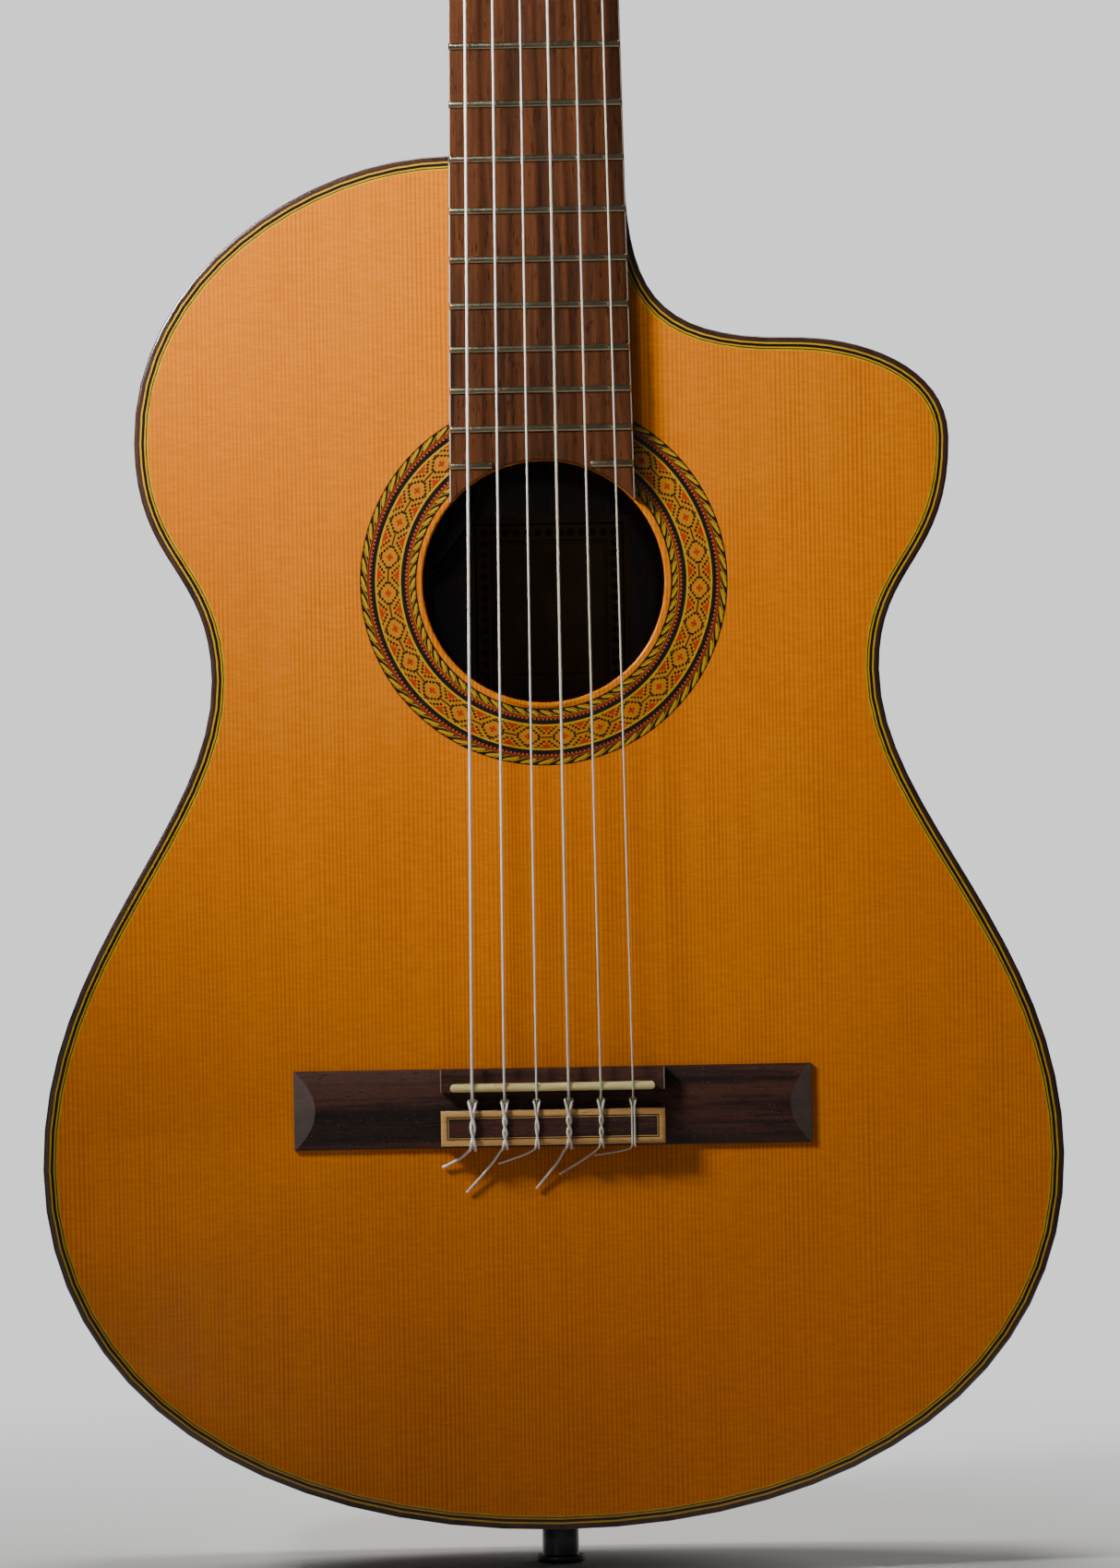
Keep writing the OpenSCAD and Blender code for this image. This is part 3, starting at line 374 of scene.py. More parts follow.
class Finish:
    """A material: its fixed sockets, and the nodes that vary it over a surface."""

    def __init__(self, name, **fixed):
        self.material = bpy.data.materials.new(name)
        self.material.use_nodes = True
        self.tree = self.material.node_tree
        self.shader = next(n for n in self.tree.nodes if n.type == "BSDF_PRINCIPLED")
        for socket, value in fixed.items():
            label = socket.replace("_", " ").title().replace("Ior", "IOR")
            self.shader.inputs[label].default_value = value

    def node(self, kind, settings=None, sockets=None, out=0):
        """Adds a node, sets it up, fills its sockets and returns one of its outputs."""
        node = self.tree.nodes.new(kind)
        for name, value in (settings or {}).items():
            if name == "stops":
                self.set_stops(node.color_ramp, value)
            else:
                setattr(node, name, value)
        for name, value in (sockets or {}).items():
            if isinstance(value, Wire):
                self.tree.links.new(value.socket, node.inputs[name])
            else:
                node.inputs[name].default_value = value
        return Wire(self, node.outputs[out])

    @staticmethod
    def set_stops(ramp, stops):
        while len(ramp.elements) < len(stops):
            ramp.elements.new(0.5)
        for element, (position, colour) in zip(ramp.elements, stops):
            element.position = position
            element.color = (*colour, 1)

    def place(self, scale=(1, 1, 1), move=(0, 0, 0)):
        """The place on the guitar, stretched and moved."""
        spot = self.node("ShaderNodeTexCoord", out="Object")
        return self.node("ShaderNodeMapping", {}, {"Vector": spot, "Scale": scale, "Location": move})

    def axes(self, middle_at=(0, 0, 0)):
        """The place on the guitar in millimetres from a middle, as three values."""
        spot = self.place((1000, 1000, 1000), [-c for c in middle_at])
        return [self.node("ShaderNodeSeparateXYZ", {}, {0: spot}, out=n) for n in range(3)]

    def noise(self, scale, stretch=(1, 1, 1), detail=3, rough=0.55, twist=0.0, move=(0, 0, 0)):
        return self.node("ShaderNodeTexNoise", {},
                         {"Vector": self.place(stretch, move), "Scale": scale, "Detail": detail,
                          "Roughness": rough, "Distortion": twist}, out="Fac")

    def ramp(self, value, *stops):
        return self.node("ShaderNodeValToRGB", {"stops": stops}, {"Fac": value}, out="Color")

    def mix(self, share, first, second, blend="MIX"):
        """Goes from the first colour to the second as share goes from 0 to 1."""
        sockets = {6: first, 7: second, 0: share}
        sockets = {k: (*v, 1) if isinstance(v, tuple) else v for k, v in sockets.items()}
        return self.node("ShaderNodeMix", {"data_type": "RGBA", "blend_type": blend}, sockets, out=2)

    def colour(self, wire):
        self.tint = wire
        self.tree.links.new(wire.socket, self.shader.inputs["Base Color"])
        return self

    def vary(self, socket, wire):
        self.tree.links.new(wire.socket, self.shader.inputs[socket])
        return self

    def bump(self, height, strength, depth):
        """Raises the surface by height, depth millimetres at most."""
        normal = self.node("ShaderNodeBump", {},
                           {"Height": height, "Strength": strength, "Distance": depth * MM})
        return self.vary("Normal", normal)


def drawn(along, ratio):
    """A stretch that draws a pattern out along the named axes."""
    return tuple(1 / ratio if axis in along else 1 for axis in "xyz")


RING_SPACING = 1.5


def spruce(name, light, dark, varnished):
    """Straight, close-grained softwood with silk across the grain."""
    wood = Finish(name, roughness=0.36 if varnished else 0.7, coat_weight=0.25 if varnished else 0.0,
                  coat_roughness=0.08, specular_ior_level=0.2)
    x, _, _ = wood.axes()
    sway = wood.noise(9, (1, 1, 0.25), detail=2) * 2.4
    width = wood.noise(40, (1, 0.2, 0.02), detail=3) * 6.0
    line = ((x + sway + width) / RING_SPACING).fraction() - 0.5
    ring = (abs(line) * 2).rise(0.35, 1.0)
    strength = 0.4 + wood.noise(120, (1, 0.2, 0.12), detail=3).rise(0.3, 0.75) * 0.6
    silk = wood.noise(520, (0.5, 1, 2.2), detail=3, rough=0.7).rise(0.35, 0.7)
    cloud = wood.noise(14, (1, 1, 0.5), detail=3).rise(0.3, 0.7)
    base = wood.mix(ring * strength * 0.8, light, dark)
    amber = tuple(c * k for c, k in zip(light, (0.82, 0.7, 0.5)))
    base = wood.mix(cloud * 0.42, base, amber)
    shade = wood.ramp(silk, (0.0, (0.80, 0.74, 0.62)), (1.0, (1.0, 1.0, 1.0)))
    wood.colour(wood.mix(0.8, base, shade, "MULTIPLY"))
    wood.vary("Roughness", 0.32 + silk * 0.12 if varnished else 0.66 + silk * 0.1)
    wood.bump(ring * 0.5 + silk * 0.5, 0.12 if varnished else 0.4, 0.05)
    return wood


def rosewood(name, along, dark, brown, red, pore_glints=0.0, **fixed):
    """Dark oily hardwood: ribbons of black and red-brown, short open pores, and pale specks painted in as
    glints of light off the pores.
    """
    wood = Finish(name, **fixed)
    ribbon = wood.noise(150, drawn(along, 24), detail=4, rough=0.6, twist=0.4)
    wide = wood.noise(42, drawn(along, 12), detail=2, twist=0.6, move=(0.3, 0.1, 0.2))
    fine = wood.noise(900, drawn(along, 16), detail=2, rough=0.7)
    tone = ribbon * 0.5 + wide * 0.32 + fine * 0.18
    base = wood.ramp(tone, (0.36, dark), (0.46, brown), (0.53, red), (0.6, brown), (0.7, dark))
    pore = wood.noise(1500, drawn(along, 7), detail=1, move=(0.7, 0.2, 0.4)).rise(0.62, 0.72)
    base = wood.mix(pore * 0.65, base, tuple(c * 0.35 for c in dark))
    if pore_glints:
        # Pale specks: painted glints of light off the pores.
        speck = wood.noise(2400, drawn(along, 2), detail=1, move=(0.2, 0.5, 0.1)).rise(0.69, 0.76)
        base = wood.mix(speck * pore_glints, base, (0.30, 0.22, 0.16))
    wood.colour(base)
    rough = fixed["roughness"]
    wood.vary("Roughness", rough + pore * 0.25 + fine * 0.08)
    wood.bump(1 - pore, 0.35, 0.06)
    return wood


def speckled(name, light, dark, scale, bump=0.1, **fixed):
    """A plain moulded or cut stuff with a slight cloud and a fine tooth."""
    stuff = Finish(name, **fixed)
    cloud = stuff.noise(scale, detail=4)
    tooth = stuff.noise(scale * 14, detail=2)
    stuff.colour(stuff.ramp(cloud, (0.3, dark), (0.7, light)))
    stuff.vary("Roughness", fixed["roughness"] * (0.85 + cloud * 0.3))
    stuff.bump(tooth, bump, 0.03)
    return stuff


def metal(name, light, dark, roughness, along=None, purity=1.0):
    """Plated metal with fine polishing marks; less than pure for a dull white plating."""
    plate = Finish(name, metallic=purity, roughness=roughness)
    marks = plate.noise(1800, drawn(along, 30) if along else (1, 1, 1), detail=3)
    cloud = plate.noise(90, detail=3)
    plate.colour(plate.ramp(cloud, (0.3, dark), (0.7, light)))
    plate.vary("Roughness", roughness * (0.7 + marks * 0.6))
    plate.bump(marks, 0.12, 0.01)
    return plate


# ---- Finishes ----

SPRUCE_TOP = spruce("varnished_spruce", (0.86, 0.25, 0.0), (0.36, 0.062, 0.0), True)
SPRUCE_RAW = spruce("raw_spruce", (0.62, 0.42, 0.22), (0.42, 0.25, 0.11), False)
ROSEWOOD_BODY = rosewood("rosewood_of_the_body", "z", (0.012, 0.005, 0.004), (0.06, 0.022, 0.013),
                         (0.12, 0.04, 0.02), roughness=0.25, coat_weight=0.8, coat_roughness=0.06)
ROSEWOOD_SIDE = rosewood("rosewood_of_the_sides", "xz", (0.012, 0.005, 0.004), (0.06, 0.022, 0.013),
                         (0.12, 0.04, 0.02), roughness=0.25, coat_weight=0.8, coat_roughness=0.06)
ROSEWOOD_EDGE = rosewood("rosewood_of_the_binding", "z", (0.014, 0.006, 0.004), (0.04, 0.016, 0.009),
                         (0.06, 0.022, 0.012), roughness=0.25, coat_weight=0.9, coat_roughness=0.05)
ROSEWOOD_BOARD = rosewood("rosewood_of_the_fingerboard", "z", (0.020, 0.007, 0.002), (0.062, 0.020, 0.007),
                          (0.105, 0.032, 0.010), 0.3, roughness=0.65, specular_ior_level=0.1)
ROSEWOOD_BRIDGE = rosewood("rosewood_of_the_bridge", "x", (0.006, 0.003, 0.002), (0.032, 0.012, 0.008),
                           (0.085, 0.028, 0.016), 0.5, roughness=0.42, specular_ior_level=0.4)
MAHOGANY = rosewood("mahogany", "z", (0.17, 0.06, 0.028), (0.24, 0.09, 0.04), (0.30, 0.12, 0.055),
                    roughness=0.4, coat_weight=0.3, coat_roughness=0.2)
BONE = speckled("bone", (0.95, 0.76, 0.36), (0.86, 0.64, 0.24), 60, roughness=0.3, coat_weight=0.3,
                subsurface_weight=0.15)
MAPLE = rosewood("maple_of_the_trim", "x", (0.50, 0.24, 0.07), (0.64, 0.34, 0.10), (0.74, 0.42, 0.13),
                 roughness=0.4, coat_weight=0.3)
YELLOW_LINE = speckled("dyed_yellow_line", (0.66, 0.38, 0.0), (0.54, 0.28, 0.0), 300, roughness=0.35,
                       coat_weight=0.5, coat_roughness=0.1)
BLACK_LINE = speckled("dyed_black_line", (0.006, 0.004, 0.003), (0.003, 0.002, 0.001), 300, roughness=0.35,
                      coat_weight=0.5, coat_roughness=0.1)
FRET_METAL = metal("fret_nickel", (0.56, 0.49, 0.32), (0.40, 0.34, 0.22), 0.24, "x")
DARK_NICKEL = metal("dark_nickel", (0.10, 0.10, 0.11), (0.06, 0.06, 0.07), 0.3)
GOLD_PLATE = metal("gold_plate", (0.86, 0.62, 0.24), (0.72, 0.48, 0.16), 0.24)
GEAR_BRASS = metal("gear_brass", (0.72, 0.52, 0.22), (0.55, 0.38, 0.14), 0.32)
STEEL = metal("steel", (0.66, 0.66, 0.66), (0.5, 0.5, 0.5), 0.26)
SILVER_WINDING = metal("silver_winding", (0.98, 0.96, 0.90), (0.92, 0.90, 0.82), 0.34, "x", 0.12)
NYLON_ROLLER = speckled("nylon_roller", (0.80, 0.76, 0.64), (0.70, 0.66, 0.54), 40, roughness=0.4,
                        subsurface_weight=0.1)
BLACK_PLASTIC = speckled("black_plastic", (0.020, 0.020, 0.021), (0.013, 0.013, 0.014), 200, bump=0.3,
                         roughness=0.45)
BLACK_RUBBER = speckled("black_rubber", (0.016, 0.016, 0.016), (0.010, 0.010, 0.010), 200, bump=0.4,
                        roughness=0.6)


def pearl_plastic():
    """Milky plastic with drifting flakes of brighter pearl."""
    pearl = Finish("pearl_plastic", roughness=0.22, coat_weight=0.7, coat_roughness=0.05,
                   subsurface_weight=0.2)
    flake = pearl.node("ShaderNodeTexVoronoi", {"feature": "SMOOTH_F1"},
                       {"Vector": pearl.place(), "Scale": 260, "Smoothness": 0.6}, out="Distance")
    drift = pearl.noise(150, detail=3, twist=2.0)
    pearl.colour(pearl.ramp(flake * 0.6 + drift * 0.6, (0.3, (0.84, 0.82, 0.76)), (0.5, (0.70, 0.67, 0.60)),
                            (0.7, (0.90, 0.89, 0.85))))
    pearl.vary("Roughness", 0.16 + drift * 0.16)
    return pearl


def clear_nylon():
    """Clear drawn line with a faint warm tint."""
    line = Finish("clear_nylon", roughness=0.2, transmission_weight=0.3, ior=1.53, coat_weight=0.4)
    cloud = line.noise(400, (1, 1, 0.05))
    line.colour(line.ramp(cloud, (0.3, (0.88, 0.80, 0.62)), (0.7, (0.96, 0.90, 0.76))))
    line.vary("Roughness", 0.1 + cloud * 0.08)
    return line


def mosaic_ring():
    """The rosette: ropes, dotted lines and a band of end-grain sticks laid in tiles."""
    inlay = Finish("rosette_mosaic", roughness=0.34, coat_weight=0.55, coat_roughness=0.12)
    x, _, z = inlay.axes((0, 0, HOLE_Z))
    reach = (x * x + z * z).math("SQRT")
    turn = inlay.node("ShaderNodeMath", {"operation": "ARCTAN2"}, {0: x, 1: z}) / math.tau + 0.5
    yellow, black, brown = (0.48, 0.16, 0.0), (0.002, 0.001, 0.001), (0.012, 0.005, 0.002)
    bright, salmon, crimson = (0.52, 0.28, 0.0), (0.38, 0.020, 0.002), (0.08, 0.003, 0.001)
    pale = (0.40, 0.11, 0.03)
    band_middle, tile_count, tile_length = 55.05, 27, 13.02
    stick_wide, stick_long = 0.75, 0.93

    # The tiles: columns of sticks across the band, rows along it, the same both ways from a middle.
    across = abs(reach - band_middle)
    along = abs((turn * tile_count).fraction() - 0.5) * tile_length
    column = (across / stick_wide + 0.5).floor()
    row = (along / stick_long + 0.5).floor()
    total = column + row
    stick = (abs(across / stick_wide - column) < 0.5).both(abs(along / stick_long - row) < 0.5)
    eye = total.equals(5).both(column.between(0.5, 4.5))
    fence = total.equals(8).both(column > 1.5)
    tip = column.equals(5).both(row.equals(0))
    dots = eye.either(fence).either(tip).both(stick)
    bar = across.between(2.72, 3.28).both(along < 1.3)
    tee = along.between(3.42, 3.98).both(across < 1.05)
    link = (across < 0.24).both(along > 3.5)
    drawn_black = dots.either(bar).either(tee).either(link)
    heart = total < 1.5
    gusset = (total > 9.5).both(column > 2.5)
    grain = inlay.noise(1500, detail=2)
    ground = inlay.ramp(grain, (0.35, yellow), (0.65, (0.54, 0.21, 0.0)))
    reds = inlay.ramp(grain, (0.35, (0.38, 0.014, 0.001)), (0.65, (0.46, 0.04, 0.002)))
    tile = inlay.mix(heart.either(gusset), ground, reds)
    tile = inlay.mix(drawn_black, tile, black)

    def rope(inner, outer, flip):
        """Slanted yellow leaves against black."""
        high = (reach - inner) / (outer - inner)
        high = 1 - high if flip else high
        slant = ((turn * 64) + high * 0.9).fraction()
        leaf = abs(slant - 0.5) < high * (1 - high) * 1.05
        vein = abs(slant - 0.12) < 0.05
        return inlay.mix(leaf.either(vein), inlay.mix(high > 0.5, black, brown), bright)

    def dotted(inner, outer, count, flip):
        """Square dots beside a red line."""
        high = (reach - inner) / (outer - inner)
        high = 1 - high if flip else high
        square = ((turn * count).fraction() < 0.55).both(high > 0.5)
        beside = inlay.mix(high > 0.5, salmon, pale)
        beside = inlay.mix(high < 0.18, beside, crimson)
        return inlay.mix(square, beside, black)

    bands = [
        (45.45, rope(45.1, 47.5, False)),
        (47.5, inlay.mix(reach > 47.7, bright, crimson)),
        (47.8, dotted(47.8, 49.0, 210, False)),
        (49.0, inlay.mix(inlay.noise(700).rise(0.4, 0.7), black, brown)),
        (50.45, inlay.ramp(grain, (0.3, bright), (0.7, (0.60, 0.34, 0.0)))),
        (51.15, tile),
        (58.95, inlay.ramp(grain, (0.3, bright), (0.7, (0.60, 0.34, 0.0)))),
        (59.6, inlay.mix(inlay.noise(700).rise(0.4, 0.7), black, brown)),
        (61.0, dotted(61.0, 62.2, 264, True)),
        (62.2, inlay.mix(reach < 62.4, bright, crimson)),
        (62.5, rope(62.5, 64.9, True)),
        (64.6, black),
    ]
    base = black
    for start, look in bands:
        base = inlay.mix(reach > start, base, look)
    inlay.colour(base)
    inlay.vary("Roughness", 0.3 + grain * 0.12)
    inlay.bump(grain, 0.08, 0.03)
    return inlay


def label_paper():
    """Aged paper, darkened further as painted shade of the inside of the body, with a row of small rosettes
    between printed rules, and blank lines to write on.
    """
    paper = Finish("label_paper", roughness=0.85)
    x, _, z = paper.axes((LABEL_MIDDLE[0], 0, LABEL_MIDDLE[1]))
    edge = (LABEL_HALF[0] - abs(x)).least(LABEL_HALF[1] - abs(z))
    a = ((x + LABEL_HALF[0]) / 4).fraction() - 0.5
    b = ((z + LABEL_HALF[1]) / 4).fraction() - 0.5
    size = (a * a + b * b).math("SQRT")
    angle = paper.node("ShaderNodeMath", {"operation": "ARCTAN2"}, {0: a, 1: b})
    star = (size < 0.29 + (angle * 8).cosine() * 0.12).both(size > 0.09)
    band = edge.between(4, 8)
    rules = edge.between(2.6, 3.2).either(edge.between(8.8, 9.1)).either(edge.between(9.9, 10.1))
    lines = (abs(x) < 15).both(abs(z + 16).between(0, 0.12).either(abs(z + 24).between(0, 0.12)))
    ink = band.both(star).either(rules).either(lines)
    age = paper.noise(60, detail=5)
    # The sheet is kept dark: painted shade of the inside of the body, on top of the paper's age.
    sheet = paper.ramp(age, (0.3, (0.27, 0.18, 0.09)), (0.7, (0.36, 0.26, 0.14)))
    paper.colour(paper.mix(ink * 0.9, sheet, (0.02, 0.012, 0.006)))
    paper.bump(paper.noise(900), 0.15, 0.03)
    return paper


def floor_sheet():
    """A pale floor that thins out into the backdrop away from the guitar."""
    floor = Finish("pale_floor", roughness=0.7)
    x, y, _ = floor.axes()
    far = (x * x + y * y).math("SQRT").rise(200, 680)
    grain = floor.noise(30, detail=3)
    floor.colour(floor.mix(grain, (0.82, 0.81, 0.79), (0.78, 0.77, 0.75)))
    floor.vary("Roughness", 0.68 + grain * 0.04)
    floor.vary("Alpha", 1 - far)
    return floor


def edge_lines_and_painted_highlights():
    """Painted highlights along the fingerboard's top edges and on the sliced ends of the bridge's wings,
    and pale lines down the corners of the tie block.
    """
    wood = ROSEWOOD_BOARD
    x, y, z = wood.axes()
    # Painted highlight: pale lines along the fingerboard's top edges, where their rounded edges catch the
    # light.
    edge = (board_half(z) - abs(x) < 0.5).both(y < BOARD_TOP + 0.8)
    wood.colour(wood.mix(edge * 0.75, wood.tint, (0.62, 0.50, 0.40)))
    wood = ROSEWOOD_BRIDGE
    x, y, z = wood.axes()
    # Pale lines down the corners of the tie block.
    corner = (abs(abs(x) - BLOCK_HALF + 0.15) < 0.2).both(y < FRONT - 4.5)
    wood.colour(wood.mix(corner * 0.5, wood.tint, (0.50, 0.42, 0.34)))
    # Painted reflection: the sliced ends of the wings are made lighter grey, as if they caught the light.
    off_centre = z - (BRIDGE_LOW + BRIDGE_HIGH) / 2
    sliced = WING_TIP + (BRIDGE_HALF - abs(x)) * SLICE_RISE / SLICE_RUN
    arched = WING_HEIGHT - off_centre * off_centre / (2 * WING_ARCH)
    wood.colour(wood.mix((sliced < arched) * 0.45, wood.tint, (0.17, 0.13, 0.115)))


edge_lines_and_painted_highlights()
PALE_FLOOR = floor_sheet()
PEARL = pearl_plastic()
CLEAR_NYLON = clear_nylon()
MOSAIC = mosaic_ring()
LABEL_PAPER = label_paper()


# ---- Camera and light ----


def camera():
    lens = bpy.data.cameras.new("camera")
    lens.sensor_width = 36
    lens.lens = 143.0
    lens.clip_start = 0.05
    lens.clip_end = 50
    eye = bpy.data.objects.new("camera", lens)
    bpy.context.scene.collection.objects.link(eye)
    roll = Matrix.Rotation(math.radians(1.0), 4, "Y")
    eye.matrix_world = Matrix.Translation(point(4.5, FRONT - 2200, 263.4)) @ roll @ Matrix.Rotation(
        math.pi / 2, 4, "X")
    bpy.context.scene.camera = eye


def soft_light(name, place, aim, width, power, spread=180):
    lamp = bpy.data.lights.new(name, "AREA")
    lamp.shape = "DISK"
    lamp.size = width
    lamp.energy = power
    lamp.spread = math.radians(spread)
    stand = bpy.data.objects.new(name, lamp)
    bpy.context.scene.collection.objects.link(stand)
    stand.location = place
    stand.rotation_euler = (Vector(aim) - Vector(place)).to_track_quat("-Z", "Y").to_euler()


def studio():
    soft_light("key_light", (-0.66, -0.48, 0.84), (-0.1, 0, 0.46), 0.26, 1.55, 46)
    soft_light("fill_light", (-1.2, -2.4, 0.0), (0, 0, 0.2), 1.2, 0.9)
    soft_light("rim_light", (-1.2, 1.6, 1.9), (0, 0, 0.4), 1.2, 30)
    soft_light("top_light", (0, 0.5, 2.6), (0, 0.1, 0), 1.0, 26)
    soft_light("head_light", (-0.7, -1.2, 1.5), (0, 0, 0.98), 0.5, 3, 34)
    soft_light("back_light", (1.6, 1.9, 1.2), (0, 0, 0.4), 1.4, 24)
    world = bpy.data.worlds.new("studio")
    world.use_nodes = True
    sky = next(n for n in world.node_tree.nodes if n.type == "BACKGROUND")
    sky.inputs["Color"].default_value = (*BACKDROP_TINT, 1)
    sight = world.node_tree.nodes.new("ShaderNodeLightPath")
    strength = world.node_tree.nodes.new("ShaderNodeMapRange")
    strength.inputs["To Min"].default_value = 0.08
    strength.inputs["To Max"].default_value = BACKDROP
    world.node_tree.links.new(sight.outputs["Is Camera Ray"], strength.inputs["Value"])
    world.node_tree.links.new(strength.outputs[0], sky.inputs["Strength"])
    bpy.context.scene.world = world
    bpy.ops.object.select_all(action="DESELECT")
    bpy.ops.mesh.primitive_plane_add(size=1.5, location=(0, 0, cad_box[0][2] - 0.0002))
    floor = name_it(bpy.context.object, "pale_floor")
    settle(floor)
    floor.data.materials.append(PALE_FLOOR.material)


# ---- Body ----


def body_sheet(name):
    """A flat sheet cut to the body's edge, facing the front."""
    bpy.ops.object.select_all(action="DESELECT")
    bpy.ops.curve.primitive_bezier_curve_add()
    piece = bpy.context.object
    piece.location = (0, 0, 0)
    spline = piece.data.splines[0]
    spline.bezier_points.add(len(BODY_EDGE) - 2)
    spline.use_cyclic_u = True
    for knot, (place, before, after) in zip(spline.bezier_points, BODY_EDGE):
        knot.handle_left_type = "FREE"
        knot.handle_right_type = "FREE"
        knot.co = point(place[0], FRONT, place[1])
        knot.handle_left = point(before[0], FRONT, before[1])
        knot.handle_right = point(after[0], FRONT, after[1])
    piece.data.resolution_u = 16
    only(piece)
    bpy.ops.object.convert(target="MESH")
    edit(piece, "EDGE")
    bpy.ops.mesh.select_all(action="SELECT")
    bpy.ops.mesh.remove_doubles(threshold=0.01 * MM)
    bpy.ops.mesh.edge_face_add()
    leave()
    if piece.data.polygons[0].normal.y > 0:
        edit(piece)
        bpy.ops.mesh.select_all(action="SELECT")
        bpy.ops.mesh.flip_normals()
        leave()
    return name_it(piece, name)


def let_in_lines(piece, lines):
    """In edit mode, insets the chosen faces line by line and gives each line its finish."""
    for width, finish_number in lines:
        shape = bmesh.from_edit_mesh(piece.data)
        before = set(shape.faces)
        bpy.ops.mesh.inset(thickness=width * MM, depth=0)
        shape = bmesh.from_edit_mesh(piece.data)
        for face in shape.faces:
            if face not in before and not face.select:
                face.material_index = finish_number
        bmesh.update_edit_mesh(piece.data)


def purfling():
    """Five thin lines let in beside the binding: yellow, black, yellow, black, yellow."""
    piece = body_sheet("purfling_lines")
    for finish in (YELLOW_LINE, BLACK_LINE):
        piece.data.materials.append(finish.material)
    edit(piece)
    mark(piece, "faces", lambda face: True)
    bpy.ops.mesh.inset(thickness=BINDING * MM, depth=0)
    shape = bmesh.from_edit_mesh(piece.data)
    inner = [face for face in shape.faces if face.select]
    bmesh.ops.delete(shape, geom=[face for face in shape.faces if face not in inner], context="FACES")
    bmesh.update_edit_mesh(piece.data)
    let_in_lines(piece, ((0.6, 0), (1.0, 1), (0.5, 0), (0.35, 1), (0.55, 0)))
    bpy.ops.mesh.delete(type="FACE")
    leave()
    modify(piece, "SOLIDIFY", thickness=1.5 * MM, offset=-1)
    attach(piece, "root")
    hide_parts("top_purfling")
    return piece


def soundboard():
    """The top, with the edge of its sound hole rounded over."""
    piece = from_solid("soundboard", "sound_board")

    def on_rim(edge):
        reach = [math.hypot(v.co.x / MM, v.co.z / MM - HOLE_Z) for v in edge.verts]
        level = [abs(v.co.y / MM - FRONT) for v in edge.verts]
        return max(abs(r - HOLE_R) for r in reach) < 0.1 and max(level) < 0.01

    edit(piece, "EDGE")
    mark(piece, "edges", on_rim)
    bpy.ops.mesh.bevel(offset=0.9 * MM, segments=4, affect="EDGES")
    leave()
    soften(piece, 40)
    return fit(piece, SPRUCE_TOP, "spruce_top", "soundboard")


def binding():
    """Rosewood strips round both edges, with their outer corner rounded over."""
    piece = from_solid("bindings", "edge_binding")

    def on_corner(edge):
        if len(edge.link_faces) != 2:
            return False
        flat, wall = sorted((abs(face.normal.y) for face in edge.link_faces), reverse=True)
        at = middle(edge)
        front_or_back = at.y < FRONT + 1 or at.y > FRONT + 90
        return flat > 0.9 and wall < 0.3 and front_or_back and on_edge_line(at)

    edit(piece, "EDGE")
    mark(piece, "edges", on_corner)
    bpy.ops.mesh.bevel(offset=0.9 * MM, segments=3, affect="EDGES")
    leave()
    soften(piece, 50)
    return fit(piece, ROSEWOOD_EDGE, "rosewood_body", "bindings")


def edge_places():
    """Points along the body's edge, in millimetres."""
    places = []
    for (start, _, after), (end, before, _) in zip(BODY_EDGE, BODY_EDGE[1:] + BODY_EDGE[:1]):
        for step in range(16):
            t = step / 16
            places.append(tuple(
                (1 - t) ** 3 * a + 3 * (1 - t) ** 2 * t * b + 3 * (1 - t) * t * t * c + t ** 3 * d
                for a, b, c, d in zip(start, after, before, end)))
    return places


EDGE_PLACES = edge_places()


def on_edge_line(at):
    """Whether a place lies on the body's outer edge."""
    best = 1e9
    for (ax, az), (bx, bz) in zip(EDGE_PLACES, EDGE_PLACES[1:] + EDGE_PLACES[:1]):
        dx, dz = bx - ax, bz - az
        run = dx * dx + dz * dz
        t = 0 if run == 0 else max(0, min(1, ((at.x - ax) * dx + (at.z - az) * dz) / run))
        best = min(best, math.hypot(at.x - ax - t * dx, at.z - az - t * dz))
    return best < 0.2


def smoothed(node, name, finish, slot, angle=35, edge=0.0, rounds=2):
    """A CAD solid with eased corners and smooth curves."""
    piece = from_solid(node, name)
    if edge:
        ease(piece, edge, rounds)
    soften(piece, angle)
    return fit(piece, finish, slot, node)


def body():
    soundboard()
    purfling()
    binding()
    smoothed("side_bass", "bass_side", ROSEWOOD_SIDE, "rosewood_body", 30)
    smoothed("side_treble", "treble_side", ROSEWOOD_SIDE, "rosewood_body", 30)
    smoothed("back_plate", "back_of_body", ROSEWOOD_BODY, "rosewood_body", 30)
    dress(MOSAIC, "rosette")
    dress(SPRUCE_RAW, "braces", "linings")
    dress(MAHOGANY, "tail_block")
    dress(LABEL_PAPER, "label")


# ---- Bridge ----


def bridge():
    """Low arched wings with sliced ends, and the raised middle that holds the saddle and the strings."""
    middle_part = from_solid("bridge", "bridge_middle")
    cut(middle_part, (BLOCK_HALF - 0.001, 0, 0), (1, 0, 0))
    cut(middle_part, (-BLOCK_HALF + 0.001, 0, 0), (-1, 0, 0))
    centre = (0, FRONT - WING_HEIGHT + WING_ARCH, (BRIDGE_LOW + BRIDGE_HIGH) / 2)
    wings = rod("bridge_wings", centre, WING_ARCH, 2 * BRIDGE_HALF, "X", 256)
    cut(wings, (0, FRONT, 0), (0, 1, 0))
    cut(wings, (0, 0, BRIDGE_LOW), (0, 0, -1))
    cut(wings, (0, 0, BRIDGE_HIGH), (0, 0, 1))
    for side in (-1, 1):
        cut(wings, (side * BRIDGE_HALF, FRONT - WING_TIP, 0), (side * SLICE_RISE, -SLICE_RUN, 0))
    ease(wings, 0.12, 2, 12)
    ease(middle_part, 0.3, 2, 50)
    soften(wings, 12)
    soften(middle_part, 40)
    piece = join("bridge_body", [middle_part, wings])
    return fit(piece, ROSEWOOD_BRIDGE, "rosewood_raw", "bridge")


